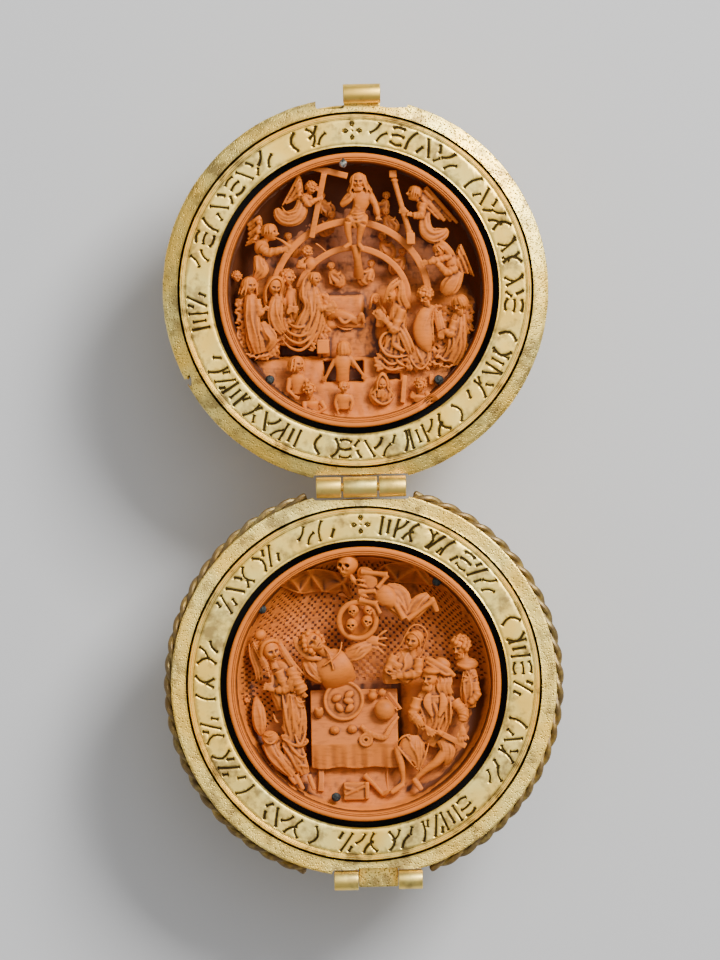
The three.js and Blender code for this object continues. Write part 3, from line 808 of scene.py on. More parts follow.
class Clay:
    """Closed forms that are gathered for one piece."""

    def __init__(self):
        self.form = bmesh.new()

    def added(self, template, form=None):
        """Copies a template into the form and returns its vertices."""
        form = form or self.form
        before = len(form.verts)
        form.from_mesh(template)
        form.verts.ensure_lookup_table()
        return form.verts[before:]

    def ball(self, at, size, turn=None, fineness=2):
        """An egg of the given half sizes."""
        reach = Vector(size) if isinstance(size, tuple) else Vector((size, size, size))
        place = Matrix.Translation(at) @ (turn or Matrix.Identity(4)) @ Matrix.Diagonal((*reach, 1))
        for vertex in self.added(ball_template(fineness)):
            vertex.co = place @ vertex.co

    def tube(self, path, radii, sides=10, rings=12, cross=None):
        """A tube along a smooth path. A radius may be a pair: across, and towards the viewer."""
        places = [Vector(p) for p in path]
        reach = [Vector(r) if isinstance(r, tuple) else Vector((r, r)) for r in radii]
        stations = {}
        for vertex in self.added(tube_template(sides, rings)):
            share = vertex.co.z
            key = round(share * rings)
            if key not in stations:
                stations[key] = (*frame_at(places, share), along(reach, share))
            middle, side, front, wide = stations[key]
            bearing = math.atan2(vertex.co.y, vertex.co.x)
            out = cross(share, bearing) if cross else 1.0
            vertex.co = (middle + side * (math.cos(bearing) * wide.x * out)
                         + front * (math.sin(bearing) * wide.y * out))

    def strand(self, path, thick, sides=6, rings=9):
        """A thin ridge or lock that thins out at both ends."""
        self.tube(path, (thick * 0.35, thick, thick, thick * 0.15), sides, rings)

    def drape(self, place, back, columns=60, rows=30):
        """A solid whose front is a sheet; place gives its points from shares across and down."""
        sheet = bmesh.new()
        for vertex in bmesh.ops.create_grid(sheet,
                                            x_segments=columns, y_segments=rows, size=0.5)["verts"]:
            vertex.co = place(vertex.co.x + 0.5, vertex.co.y + 0.5)
        edges = [e for e in sheet.edges if e.is_boundary]
        grown = bmesh.ops.extrude_edge_only(sheet, edges=edges)["geom"]
        for vertex in grown:
            if isinstance(vertex, bmesh.types.BMVert):
                vertex.co.z = back
        bmesh.ops.edgeloop_fill(sheet, edges=[e for e in grown if isinstance(e, bmesh.types.BMEdge)])
        absorb(self.form, sheet)

    def slab(self, low, high, edge=0.06):
        """A box with rounded edges."""
        box = bmesh.new()
        rounded_box(box, low, high, edge, 1)
        absorb(self.form, box)


# Rope, hinge and clasp


class MakeRope(bpy.types.Operator):
    """Make the two lengths of twisted wire round the lower half ball."""

    bl_idname = "bead.make_rope"
    bl_label = "Rope border"

    def execute(self, context):
        finish = material(gilt, "gilt_wire", 0.0, 0.4)
        thick = sizes().rope_strand / MM / 2
        turns = sizes().rope_turns
        hinge_gap = math.asin(HINGE_GAP / ROPE_RADIUS)
        clasp_gap = math.asin(CLASP_GAP / ROPE_RADIUS)
        for side, start in (("left", math.pi / 2 + hinge_gap), ("right", -math.pi / 2 + clasp_gap)):
            clay = Clay()
            sweep = math.pi - hinge_gap - clasp_gap
            for wire in (0, math.pi):
                path = []
                for i in range(241):
                    share = i / 240
                    twist = wire + share * turns * TURN
                    radius = ROPE_RADIUS + (ROPE_HALF - thick) * math.cos(twist)
                    bearing = start + sweep * share
                    path.append((radius * math.cos(bearing), radius * math.sin(bearing),
                                 ROPE_DEPTH + (ROPE_HALF - thick) * math.sin(twist)))
                clay.tube(path, (thick, thick), 10, 480, rounded_ends(0.004))
            new_piece("twisted_border_" + side, clay.form, LOWER, finish, "lower_half", "gilt_rope",
                      "rope_border_" + side, hollows=(3, 12, 0.14))
        return {"FINISHED"}


def knuckle(left, right, y, radius, toward, curl, seed):
    """Sheet curled round a wire, from the leaf up over the barrel. Curl is how far round it goes."""
    form = bmesh.new()
    thick = 0.62 * radius if curl > 5 else 0.45 * radius
    outer = []
    inner = []
    for angle in spread(30, 0, curl):
        bearing = -math.pi / 2 + angle
        out = radius * (1 + 0.012 * math.sin(3 * angle + seed))
        outer.append((y + toward * out * math.cos(bearing + math.pi), out * math.sin(bearing)))
        inner.append((y + toward * (out - thick) * math.cos(bearing + math.pi),
                      (out - thick) * math.sin(bearing)))
    face = form.faces.new([form.verts.new((left, *place)) for place in outer + inner[::-1]])
    for grown in bmesh.ops.extrude_face_region(form, geom=[face])["geom"]:
        if isinstance(grown, bmesh.types.BMVert):
            grown.co.x = right
    bmesh.ops.recalc_face_normals(form, faces=form.faces)
    rim = [e for e in form.edges if len({f for f in e.link_faces}) == 2
           and any(len(f.verts) > 4 for f in e.link_faces)]
    bmesh.ops.bevel(form, geom=rim, offset=0.13, offset_type="OFFSET", affect="EDGES", segments=3,
                    profile=0.5, material=-1)
    return form


# Name, node, body, barrel's place and radius, the side of its dome, its curl and its leaf's top.
HINGE = (
    ("barrel_left", "hinge_knuckle_left", "lower_half", 0, BARREL, -1, 5.9, -0.35),
    ("barrel_middle", "hinge_knuckle_middle", "upper_half", 0, BARREL, 1, 5.9, -0.35),
    ("barrel_right", "hinge_knuckle_right", "lower_half", 0, BARREL, -1, 5.9, -0.35),
)
CLASP = (
    ("clasp_curl_left", "clasp_knuckle_left", "lower_half", -CLASP_Y, CLASP_BARREL, 1, 4.3, -0.45),
    ("clasp_curl_right", "clasp_knuckle_right", "lower_half", -CLASP_Y, CLASP_BARREL, 1, 4.3, -0.45),
    ("clasp_tongue", "clasp_tab", "upper_half", CLASP_Y, CLASP_BARREL, -1, 5.4, -0.4),
)


def make_knuckles(table):
    """Makes a row of knuckles, each with its leaf."""
    for name, node, body, y, radius, toward, curl, top in table:
        left, right = (corner.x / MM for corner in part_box(node))
        form = knuckle(left, right, y, radius, toward, curl, 2 if node == "clasp_tab" else left)
        leaf = bmesh.new()
        near, far = sorted((y + toward * 0.45, y + toward * 1.25))
        rounded_box(leaf, (left, near, LEAF_FOOT), (right, far, top), 0.15)
        absorb(form, leaf)
        new_piece(name, form, AXIS, material(gilt, "gilt_worn_bright", 0.0, 0.5), body,
                  "gilt_fitting", node, hollows=(2, 6, 0.2))


def make_hinge_wire():
    """Makes the wire that the hinge turns on."""
    left, right = (corner.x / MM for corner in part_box("hinge_pin"))
    wire = Clay()
    wire.tube(((left + 0.02, 0, 0), ((left + right) / 2, 0, 0), (right - 0.02, 0, 0)), (0.58, 0.58),
              28, 24, rounded_ends(0.03))
    new_piece("hinge_wire", wire.form, AXIS, material(gilt, "gilt_dull", 0.25, 0.9), "lower_half",
              "gilt_fitting", "hinge_pin")


class MakeFittings(bpy.types.Operator):
    """Make the hinge's three knuckles and its wire, and the knuckles and tab of the clasp."""

    bl_idname = "bead.make_fittings"
    bl_label = "Hinge and clasp"

    def execute(self, context):
        make_knuckles(HINGE)
        make_hinge_wire()
        make_knuckles(CLASP)
        return {"FINISHED"}


class MakePins(bpy.types.Operator):
    """Make the small pins and the nail that hold the carvings."""

    bl_idname = "bead.make_pins"
    bl_label = "Pins"

    def execute(self, context):
        green = material(corroded, "pin_green")
        pale = material(silver, "nail_silver")
        nodes = ("upper_stud_left", "upper_stud_right", "lower_pin_left", "lower_pin_right",
                 "lower_pin_foot", "upper_nail")
        for index, node in enumerate(nodes):
            middle = middle_of(node)
            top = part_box(node)[1].z / MM - PARTING
            nail = node == "upper_nail"
            body = "upper_half" if node.startswith("upper") else "lower_half"
            clay = Clay()
            clay.tube(((0, 0, top - 6), (0, 0, top - 3), (0, 0, top - 0.5)), (0.42, 0.5), 16, 6)
            if nail:
                clay.tube(((0.1, 0.55, top - 0.7), (0.03, 0, top - 0.5), (-0.05, -0.5, top - 0.4)),
                          (0.16, 0.3, 0.42), 14, 12, rounded_ends(0.1))
                new_piece(node + "_stem", clay.form, middle.xy, green, body, "dark_pin", node)
                clay = Clay()
            size = (0.6, 0.6, 0.45) if nail else (0.69, 0.69, 0.42)
            clay.ball((0, -0.55 * nail, top - size[2]), size, fineness=4)
            for vertex in clay.form.verts:
                dent = noise.noise(vertex.co * 1.9 + Vector((7 * index, 0, 0)))
                vertex.co.xy *= 1 - 0.14 * abs(dent)
                if vertex.co.z > top - 0.5:
                    vertex.co.z -= 0.16 * abs(dent)
            new_piece(node + "_head", clay.form, middle.xy, pale if nail else green, body,
                      "silver_nail" if nail else "dark_pin", node)
        return {"FINISHED"}


# The turned roundels


def recess(radius, deep):
    """Depth of the recess at a radius: a steep wall that rounds into a nearly flat floor."""
    share = min(radius / RELIEF_RADIUS, 1)
    return -0.95 - (deep - 0.95) * (1 - share ** 5.5) ** 0.5


def rim_profile():
    """The mouldings of the rim, from the outer edge inwards."""
    points = [(ROUNDEL_RADIUS, -0.7), (ROUNDEL_RADIUS - 0.05, -0.5), (ROUNDEL_RADIUS - 0.18, -0.36),
              (ROUNDEL_RADIUS - 0.4, -0.3), (ROUNDEL_RADIUS - 0.62, -0.36), (ROUNDEL_RADIUS - 0.7, -0.52)]
    for centre, top in ((19.05, -0.42), (18.82, -0.58)):
        points += [(centre + 0.11 * math.cos(a), top - 0.12 + 0.12 * math.sin(a))
                   for a in spread(5, 0.1, math.pi - 0.1)]
    return points


def roundel_form(deep):
    """The half ball of wood with its shoulder, rim and empty recess."""
    slim = WOOD_BODY_RADIUS / FLANGE_INNER
    back = dome_arc(WOOD_BODY_RADIUS, (FOOT_RADIUS - 0.4) * slim, FLOOR_DEPTH + WALL + 0.3,
                    -FACE_DROP - FLANGE_BEVEL - FLANGE_THICK - WALL, 14)
    wall = [(r, recess(r, deep)) for r in (18.64, 18.6, 18.5, 18.35, 18.1, 17.8, 17.4, 16.9, 16.3, 15.6,
                                           14.8, 13.6, 12, 10, 7.5, 5, 2.5, 0)]
    profile = [(0, FLOOR_DEPTH + WALL + 0.3), *back, (WOOD_BODY_RADIUS, -WOOD_SHOULDER),
               (COLLAR_INNER + 0.16, -WOOD_SHOULDER), (COLLAR_INNER + 0.1, GROOVE_DEPTH),
               (ROUNDEL_RADIUS + 0.08, GROOVE_DEPTH), (ROUNDEL_RADIUS, -1.3), *rim_profile(), *wall]
    form = spun(profile, sizes().round_steps)
    for vertex in form.verts:
        if vertex.co.z > -1.1 and vertex.co.xy.length < ROUNDEL_RADIUS + 0.04:
            cut = noise.noise(vertex.co * 0.5) + 0.5 * noise.noise(vertex.co * 1.6)
            vertex.co.z += 0.035 * cut - 0.04
    return form


def chip(form, at, size):
    """A chip broken out of the rim."""
    for vertex in form.verts:
        near = (vertex.co - Vector(at)).length / size
        if near < 1:
            vertex.co.z -= 0.75 * (1 - near ** 2) * (1 + 0.4 * noise.noise(vertex.co * 3))
            vertex.co.xy *= 1 - 0.012 * (1 - near)


class MakeRoundels(bpy.types.Operator):
    """Turn the two boxwood roundels with their rims and recesses."""

    bl_idname = "bead.make_roundels"
    bl_label = "Roundels"

    def execute(self, context):
        finish = material(boxwood, "boxwood_turned")
        for half, middle, deep in (("upper", UPPER, RECESS_DEPTH), ("lower", LOWER, LOWER_RECESS)):
            form = roundel_form(deep)
            if half == "upper":
                chip(form, (10.4, -16.6, -0.4), 1.3)
            mesh = mesh_of(form, half + "_turned_roundel")
            mark_hollows(mesh, 2, 10, 0.06)
            # The deep groove between the wood and the collar is marked 1.5, so that the wood paints it
            # almost black as painted shadow.
            for vertex, mark in zip(mesh.vertices, mesh.attributes["hollow"].data):
                if vertex.co.z < -1.2 and vertex.co.xy.length > ROUNDEL_RADIUS - 0.02:
                    mark.value = 1.5
            new_piece(half + "_turned_roundel", mesh, middle, finish, half + "_half", "boxwood",
                      half + "_roundel")
        return {"FINISHED"}


# Carved figures. Heads are modelled in shares of their half height: x to the side, y up, z out of
# the face. Each bump of the face is (x, y, width, height, rise), and those off the middle are doubled.

FACE = (
    (0.28, 0.24, 0.2, 0.07, 0.09), (0.28, 0.04, 0.17, 0.12, -0.24), (0.28, 0.03, 0.1, 0.06, 0.15),
    (0.0, 0.02, 0.075, 0.22, 0.14), (0.0, -0.25, 0.11, 0.13, 0.36), (0.13, -0.32, 0.07, 0.06, 0.12),
    (0.0, -0.49, 0.17, 0.05, 0.1), (0.0, -0.58, 0.21, 0.04, -0.2), (0.0, -0.67, 0.14, 0.05, 0.13),
    (0.0, -0.78, 0.13, 0.04, -0.06), (0.0, -0.91, 0.17, 0.1, 0.15), (0.44, -0.2, 0.16, 0.16, 0.09),
)


SKULL = (
    (0.3, 0.02, 0.19, 0.17, -0.5), (0.0, -0.26, 0.09, 0.12, -0.32), (0.3, 0.24, 0.26, 0.08, 0.1),
    (0.46, -0.22, 0.15, 0.12, 0.12), (0.0, -0.6, 0.3, 0.15, 0.16), (0.0, -0.62, 0.34, 0.025, -0.1),
    (0.0, -0.93, 0.24, 0.1, 0.12),
)


def egg_with_bumps(out, bumps, jaw, wide, deep, front, edge):
    """A place on a head, from a direction: an egg with a narrower jaw, and bumps on its face."""
    x, y, z = out
    place = Vector((wide * x * (1 - jaw[0] * max(0.0, -y) ** jaw[1]), y, deep * z))
    if z > 0:
        place.z = front[0] * z ** front[1]
        for bump_x, bump_y, broad, high, rise in bumps:
            for side in (1, -1) if bump_x else (1,):
                away = ((place.x - side * bump_x) / broad) ** 2 + ((y - bump_y) / high) ** 2
                if away < 6:
                    place.z += rise * math.exp(-away ** edge) * min(1, 3 * z)
    return place


def head_shape(out):
    """A place on a calm, evenly proportioned head, from a direction."""
    return egg_with_bumps(out, FACE, (0.34, 1.7), 0.74, 0.92, (0.8, 0.6), 1)


def skull_shape(out):
    """A place on a bare skull, from a direction."""
    place = egg_with_bumps(out, SKULL, (0.45, 1.3), 0.8, 0.98, (0.86, 0.7), 2)
    if out.z > 0 and -0.78 < out.y < -0.46 and abs(place.x) < 0.34:
        place.z -= 0.05 * (0.5 + 0.5 * math.cos(TURN * place.x / 0.13))
    return place


class Carving(Clay):
    """Clay in the shape of figures, fused and finished as boxwood."""

    def __init__(self):
        super().__init__()
        self.faces = bmesh.new()

    def lump(self, place, at, size):
        """An egg in a head's own measures."""
        tall = place.median_scale
        self.ball(place @ Vector(at), tuple(tall * s for s in size),
                  place.to_quaternion().to_matrix().to_4x4())

    def lock(self, place, points, thick):
        """A lock of hair, or a fold, in a head's own measures."""
        self.strand([place @ Vector(p) for p in points], thick * place.median_scale)

    def head(self, at, tall, turn=0, nod=0, lean=0, fineness=4, shape=head_shape):
        """A head, or a skull; turned to the right, nodding and leaning to the left in degrees."""
        place = (Matrix.Translation(at) @ Matrix.Rotation(math.radians(lean), 4, "Z")
                 @ Matrix.Rotation(math.radians(turn), 4, "Y")
                 @ Matrix.Rotation(math.radians(nod), 4, "X") @ Matrix.Scale(tall, 4))
        for vertex in self.added(ball_template(fineness), self.faces):
            forward = vertex.co + Vector((0, -0.1, 0.55))
            vertex.co = place @ shape(forward.normalized())
        for side in (-1, 1) if shape is head_shape else ():
            self.lump(place, (0.72 * side, -0.05, -0.05), (0.08, 0.18, 0.12))
        return place

    def crown(self, place, count):
        """The mass of the hair, and then where each of its locks leaves the head."""
        self.lump(place, (0, 0.16, -0.3), (0.76, 0.86, 0.74))
        for index, angle in enumerate(spread(count, 52, 308)):
            out = 1 + 0.1 * (index % 2)
            yield out * math.sin(math.radians(angle)), out * math.cos(math.radians(angle))

    def long_hair(self, place, fall=1.8, count=13, wide=1.15, thick=0.15, wave=0.12, seed=0):
        """Hair parted over the brow, falling in waved locks past the shoulders."""
        draw = random.Random(seed)
        for x, z in self.crown(place, count):
            sway = [draw.uniform(-wave, wave) for _ in range(3)]
            self.lock(place, ((0.15 * x, 0.96, 0.22 + 0.1 * z), (0.7 * x, 0.62, 0.72 * z),
                              (0.86 * x + sway[0], 0.0, 0.9 * z), (0.92 * x - sway[0], -0.55, 0.92 * z),
                              (wide * x + sway[1], -0.5 - 0.5 * fall, 0.92 * z),
                              (wide * x - sway[2], -0.1 - fall, 0.85 * z)), thick)

    def curls(self, place, count=60, seed=0, low=-0.5, size=0.21):
        """Short curls all over the head, clear of the face."""
        draw = random.Random(seed)
        self.lump(place, (0, 0.16, -0.3), (0.76, 0.86, 0.74))
        for i in range(count):
            y = 1 - 2 * (i + 0.5) / count
            x = math.sqrt(1 - y * y) * math.cos(2.4 * i)
            z = math.sqrt(1 - y * y) * math.sin(2.4 * i)
            if y < low or (z > 0.35 and y < 0.52 and abs(x) < 0.75):
                continue
            big = size * draw.uniform(0.75, 1.15)
            self.lump(place, (0.92 * x, 0.06 + y, z - 0.08), (big, big, big))

    def swept_hair(self, place, count=15, fall=0.7, thick=0.13, seed=0):
        """Short straight hair brushed from the crown."""
        draw = random.Random(seed)
        for x, z in self.crown(place, count):
            end = draw.uniform(-0.08, 0.08)
            self.lock(place, ((0.1 * x, 1.0, 0.1 * z), (0.62 * x, 0.78, 0.62 * z),
                              (0.88 * x, 0.2, 0.9 * z), (0.94 * x + end, -fall, 0.94 * z)), thick)

    def beard(self, place, long=0.4, count=7, thick=0.11, seed=0):
        """A beard with a moustache."""
        draw = random.Random(seed)
        for x in spread(count, -0.46, 0.46):
            sway = draw.uniform(-0.08, 0.08)
            self.lock(place, ((1.1 * x, -0.5, 0.6 - 0.5 * abs(x)), (1.12 * x, -0.85, 0.78 - 0.4 * abs(x)),
                              (0.95 * x + sway, -1.0 - 0.5 * long, 0.74),
                              (0.6 * x, -1.0 - long, 0.6 + sway)), thick)
        for side in (-1, 1):
            self.lock(place, ((0.03 * side, -0.42, 0.88), (0.2 * side, -0.47, 0.84),
                              (0.38 * side, -0.66, 0.62)), 0.09)

    def veil(self, place, left, right, thick, peak=0.0):
        """A veil or hood: a fold that frames the face and falls to a place on either side."""
        tall = place.median_scale
        self.lump(place, (0, 0.16 + 0.4 * peak, -0.3), (0.92, 1.02 + 0.5 * peak, 0.8))
        brow = ((-0.98, -0.75, 0.1), (-0.88, 0.2, 0.24), (-0.55, 0.86 + 0.5 * peak, 0.3),
                (0, 1.08 + peak, 0.26), (0.55, 0.86 + 0.5 * peak, 0.3), (0.88, 0.2, 0.24),
                (0.98, -0.75, 0.1))
        inner = [Vector(left), *(place @ Vector(p) for p in brow), Vector(right)]
        outer = [p + (p - place.translation) * 0.16 + Vector((0, 0, -0.35 * tall)) for p in inner]
        self.tube(inner, ((thick * tall, 0.42 * tall),) * 2, 10, 40, rounded_ends(0.04))
        self.tube(outer, ((thick * 1.1 * tall, 0.5 * tall),) * 2, 10, 40, rounded_ends(0.04))

    def neck(self, place, foot, wide=0.36):
        """A neck down to the collarbones."""
        tall = place.median_scale
        top = place @ Vector((0, -0.55, -0.12))
        self.tube((top, top.lerp(Vector(foot), 0.5), foot),
                  (wide * tall, wide * tall, 1.3 * wide * tall), 12, 6)

    def robe(self, stations, pleats, deep, seed):
        """Cloth round a body, from stations of (x, y, depth, half width, half thickness)."""
        draw = random.Random(seed)
        deep = 1.5 * deep
        heights = [draw.uniform(0.4, 1.0) for _ in range(pleats)]
        phase = draw.uniform(0, 1)
        drift = draw.uniform(-0.6, 0.6)
        bend = draw.uniform(3, 6)

        def cross(share, bearing):
            place = (bearing / TURN * pleats + phase + drift * share
                     + 0.22 * math.sin(bend * share + 6 * phase + 2 * bearing))
            nearest = round(place)
            ridge = (0.5 + 0.5 * math.cos(TURN * (place - nearest))) ** 1.6
            return 1 + deep * (0.35 + 0.65 * share) * (heights[nearest % pleats] * ridge - 0.45)

        self.tube([s[:3] for s in stations], [tuple(s[3:]) for s in stations], pleats * 7, 30, cross)
        places = [Vector(s[:3]) for s in stations]
        widths = [Vector(s[3:]) for s in stations]
        count = max(3, round(0.6 * pleats))
        for k in range(count):
            bearing = math.pi * (k + 0.5) / count + draw.uniform(-0.15, 0.15)
            swing = draw.uniform(0.1, 0.3)
            line = []
            for share in spread(6, draw.uniform(0.02, 0.3), draw.uniform(0.8, 1.0)):
                middle, side, front = frame_at(places, share)
                wide = along(widths, share)
                turn = bearing + swing * math.sin(5 * share + phase + 2 * k)
                line.append(middle + side * (math.cos(turn) * wide.x) + front * (math.sin(turn) * wide.y))
            self.strand(line, draw.uniform(0.13, 0.19) * (0.5 + 0.4 * widths[len(widths) // 2].x), 6, 18)

    def hem(self, points, size=0.5, seed=0):
        """Crumpled cloth heaped along a line: short sharp folds that cross each other."""
        draw = random.Random(seed)
        line = [Vector(p) for p in points]
        count = max(3, int(sum((b - a).length for a, b in zip(line, line[1:])) / (0.75 * size)))
        for share in spread(count, 0, 1):
            middle = along(line, share)
            reach = size * draw.uniform(0.8, 1.5)
            angle = draw.uniform(-0.9, 0.9)
            along_fold = Vector((math.cos(angle), math.sin(angle), draw.uniform(-0.3, 0.3))) * reach
            lift = Vector((0, draw.uniform(-0.15, 0.15), draw.uniform(0.1, 0.35))) * size
            self.strand((middle - along_fold, middle + lift, middle + along_fold),
                        size * draw.uniform(0.22, 0.36))

    def heap(self, box, depth, size=0.6, seed=0):
        """Crumpled cloth that fills a box of (left, right, bottom, top)."""
        draw = random.Random(seed)
        left, right, bottom, top = box
        for _ in range(round((right - left) * (top - bottom) / (0.5 * size * size))):
            middle = Vector((draw.uniform(left, right), draw.uniform(bottom, top),
                             depth + draw.uniform(-0.2, 0.2)))
            angle = draw.uniform(-2.0, 0.6)
            reach = Vector((math.cos(angle), math.sin(angle), draw.uniform(-0.3, 0.1)))
            reach *= size * draw.uniform(0.7, 1.4)
            bend = Vector((draw.uniform(-0.5, 0.5), draw.uniform(-0.5, 0.5), 0.3)) * size
            thick = size * draw.uniform(0.38, 0.62)
            self.tube((middle - reach, middle + bend, middle + reach),
                      (0.6 * thick, thick, 0.6 * thick), 7, 12, rounded_ends(0.25))

    def swag(self, first, last, drop, thick=0.2, lift=0.15):
        """A fold that hangs between two places."""
        a = Vector(first)
        b = Vector(last)
        low = Vector((0, -drop, lift))
        self.strand((a, a.lerp(b, 0.2) + low * 0.64,
                     a.lerp(b, 0.5) + low, a.lerp(b, 0.8) + low * 0.64, b), thick, 6, 14)

    def folds(self, tops, feet, count, thick, bow, seed):
        """A row of long folds between two lines of two places each."""
        draw = random.Random(seed)
        for share in spread(count, 0, 1):
            top = Vector(tops[0]).lerp(Vector(tops[1]), share)
            foot = Vector(feet[0]).lerp(Vector(feet[1]), share)
            start = top.lerp(foot, draw.uniform(0, 0.15))
            end = foot.lerp(top, draw.uniform(0, 0.12))
            side = Vector((bow + draw.uniform(-0.12, 0.12), 0, 0))
            self.strand((start, start.lerp(end, 0.5) + side, end), thick * draw.uniform(0.75, 1.2), 6, 14)

    def bone(self, first, last, thick):
        """A long bone with swollen ends."""
        a, b = Vector(first), Vector(last)
        self.tube((a, a.lerp(b, 0.15), a.lerp(b, 0.5), a.lerp(b, 0.85), b),
                  (1.25 * thick, thick, 0.85 * thick, thick, 1.25 * thick), 12, 18, rounded_ends(0.08))

    def bundle(self, path, wide, count, thick, wave=0.12, seed=0):
        """Strands side by side along one path, each waving a little on its own."""
        draw = random.Random(seed)
        places = [Vector(p) for p in path]
        last = len(places) - 1
        for share in spread(count, -1, 1):
            line = []
            for i, place in enumerate(places):
                ahead = places[min(i + 1, last)] - places[max(i - 1, 0)]
                side = ahead.cross(Vector((0, 0, 1))).normalized()
                line.append(place + side * (share * wide + draw.uniform(-wave, wave))
                            + Vector((0, 0, draw.uniform(-wave, wave) - 0.3 * wide * share * share)))
            self.tube(line, (0.5 * thick, thick, 1.1 * thick, thick, 0.3 * thick), 7, 22)

    def foot(self, ankle, toe, thick=0.26):
        """A bare foot."""
        ankle, toe = Vector(ankle), Vector(toe)
        self.tube((ankle - (toe - ankle) * 0.15, ankle.lerp(toe, 0.4), toe),
                  ((thick, thick), (1.1 * thick, 0.9 * thick), (0.9 * thick, 0.45 * thick)), 12, 10,
                  rounded_ends(0.12))

    def arm(self, shoulder, elbow, wrist, tip, thick, cuff, seed):
        """A sleeved arm, creased at the elbow, with its hand."""
        draw = random.Random(seed)
        phase = draw.uniform(0, 6)
        rings = draw.uniform(4.2, 5.4)

        def cross(share, bearing):
            wave = math.cos(TURN * rings * share + 1.5 * math.sin(bearing + phase))
            return 1 + 0.15 * max(0, wave) * (0.5 + math.sin(math.pi * share)) - 0.05

        shoulder, elbow, wrist = Vector(shoulder), Vector(elbow), Vector(wrist)
        self.tube((shoulder, shoulder.lerp(elbow, 0.6), elbow, elbow.lerp(wrist, 0.5), wrist),
                  (thick, thick * 0.95, thick * 0.9, (thick + cuff) / 2, cuff), 18, 34, cross)
        self.hand(wrist, tip)

    def bare_limb(self, path, radii):
        """A bare arm or leg."""
        self.tube(path, radii, 14, 16, rounded_ends(0.06))

    def hand(self, wrist, tip, size=1.0, splay=0.2):
        """A hand with four fingers and a thumb, from the wrist to the finger tips."""
        wrist = Vector(wrist)
        reach = Vector(tip) - wrist
        long = reach.length * size
        side = reach.cross(Vector((0, 0, 1)) if abs(reach.normalized().z) < 0.9 else Vector((0, 1, 0)))
        side = side.normalized() * long
        self.tube((wrist - reach * 0.1, wrist + reach * 0.2, wrist + reach * 0.5),
                  ((0.16 * long, 0.12 * long), (0.26 * long, 0.13 * long), (0.24 * long, 0.11 * long)),
                  10, 6)
        for k in (-1.5, -0.5, 0.5, 1.5):
            self.strand((wrist + reach * 0.42 + side * 0.12 * k, wrist + reach * 0.72
                         + side * (0.14 + splay * 0.2) * k, wrist + reach * (1 - 0.035 * k * k)
                         + side * (0.13 + splay * 0.3) * k), 0.075 * long, 6, 6)
        self.strand((wrist + reach * 0.12 + side * 0.2, wrist + reach * 0.4 + side * 0.36,
                     wrist + reach * 0.62 + side * 0.4), 0.08 * long, 6, 6)

    def wing(self, edge, falls, feathers=9, thick=0.15):
        """A wing: its leading edge, and three rows of feathers that fall from it side by side."""
        path = [Vector(p) for p in edge]
        self.tube(path, (0.42, 0.38, 0.28, 0.18), 10, 16, rounded_ends(0.1))
        for share, lift, count in ((1.0, 0.0, feathers),
                                   (0.62, 0.24, feathers), (0.32, 0.46, feathers + 1)):
            roots = []
            tips = []
            for index, t in enumerate(spread(count, 0.03, 0.98)):
                root = along(path, t) + Vector((0, 0, lift + 0.3 * (index % 2)))
                roots.append(root)
                tips.append(root + Vector(falls[0]).lerp(Vector(falls[1]), t) * share)
            for index, (root, tip) in enumerate(zip(roots, tips)):
                near = (index + 1) if index + 1 < count else index - 1
                ahead = (tip - root).normalized()
                widths = []
                for gap in (roots[near] - root, tips[near] - tip):
                    gap.z = 0
                    widths.append(min(max(0.62 * (gap - ahead * gap.dot(ahead)).length, 0.15), 0.75))
                self.tube((root, root.lerp(tip, 0.5) + Vector((0, 0, 0.12)), tip),
                          ((widths[0], thick), (sum(widths) / 2, 1.3 * thick), (0.75 * widths[1], thick)),
                          10, 10)

    def beam(self, first, last, wide, deep):
        """A straight squared bar."""
        self.tube((first, last), ((wide, deep), (wide, deep)), 16, 4, squared)

    def arch(self, middle, radius, ends, depth, wide, deep, flare=0.0):
        """A flat band bent round part of a circle, from one bearing to another in degrees."""
        path = []
        for angle in spread(25, *ends):
            x, y = math.cos(math.radians(angle)), math.sin(math.radians(angle))
            out = radius + flare * abs(x) ** 3
            path.append((middle[0] + out * x, middle[1] + out * y, depth))
        self.tube(path, ((wide, deep), (wide, deep)), 16, 72, squared)

    def fuse(self, name, middle, half):
        """Presses the forms inside the recess, fuses all but the faces and finishes the piece."""
        for vertex in (*self.form.verts, *self.faces.verts):
            out = vertex.co.xy.length
            if out > RELIEF_RADIUS:
                vertex.co.xy *= (RELIEF_RADIUS + 0.05 * math.tanh(out - RELIEF_RADIUS)) / out
            vertex.co.z = min(vertex.co.z, RELIEF_TOP)
        bodies = evaluated(self.form, name,
                           ("REMESH", {"mode": "VOXEL", "voxel_size": sizes().knife_grain / MM}),
                           ("SMOOTH", {"factor": 0.5, "iterations": 3}),
                           ("DECIMATE", {"ratio": sizes().carving_share}))
        self.faces.from_mesh(bodies)
        mesh = mesh_of(self.faces, name)
        new_piece(name, mesh, middle, material(boxwood, "boxwood_carved"), half + "_half", "boxwood",
                  half + "_roundel", sharp=180, hollows=(3, 24, 0.06))


# The judgement, in the upper half


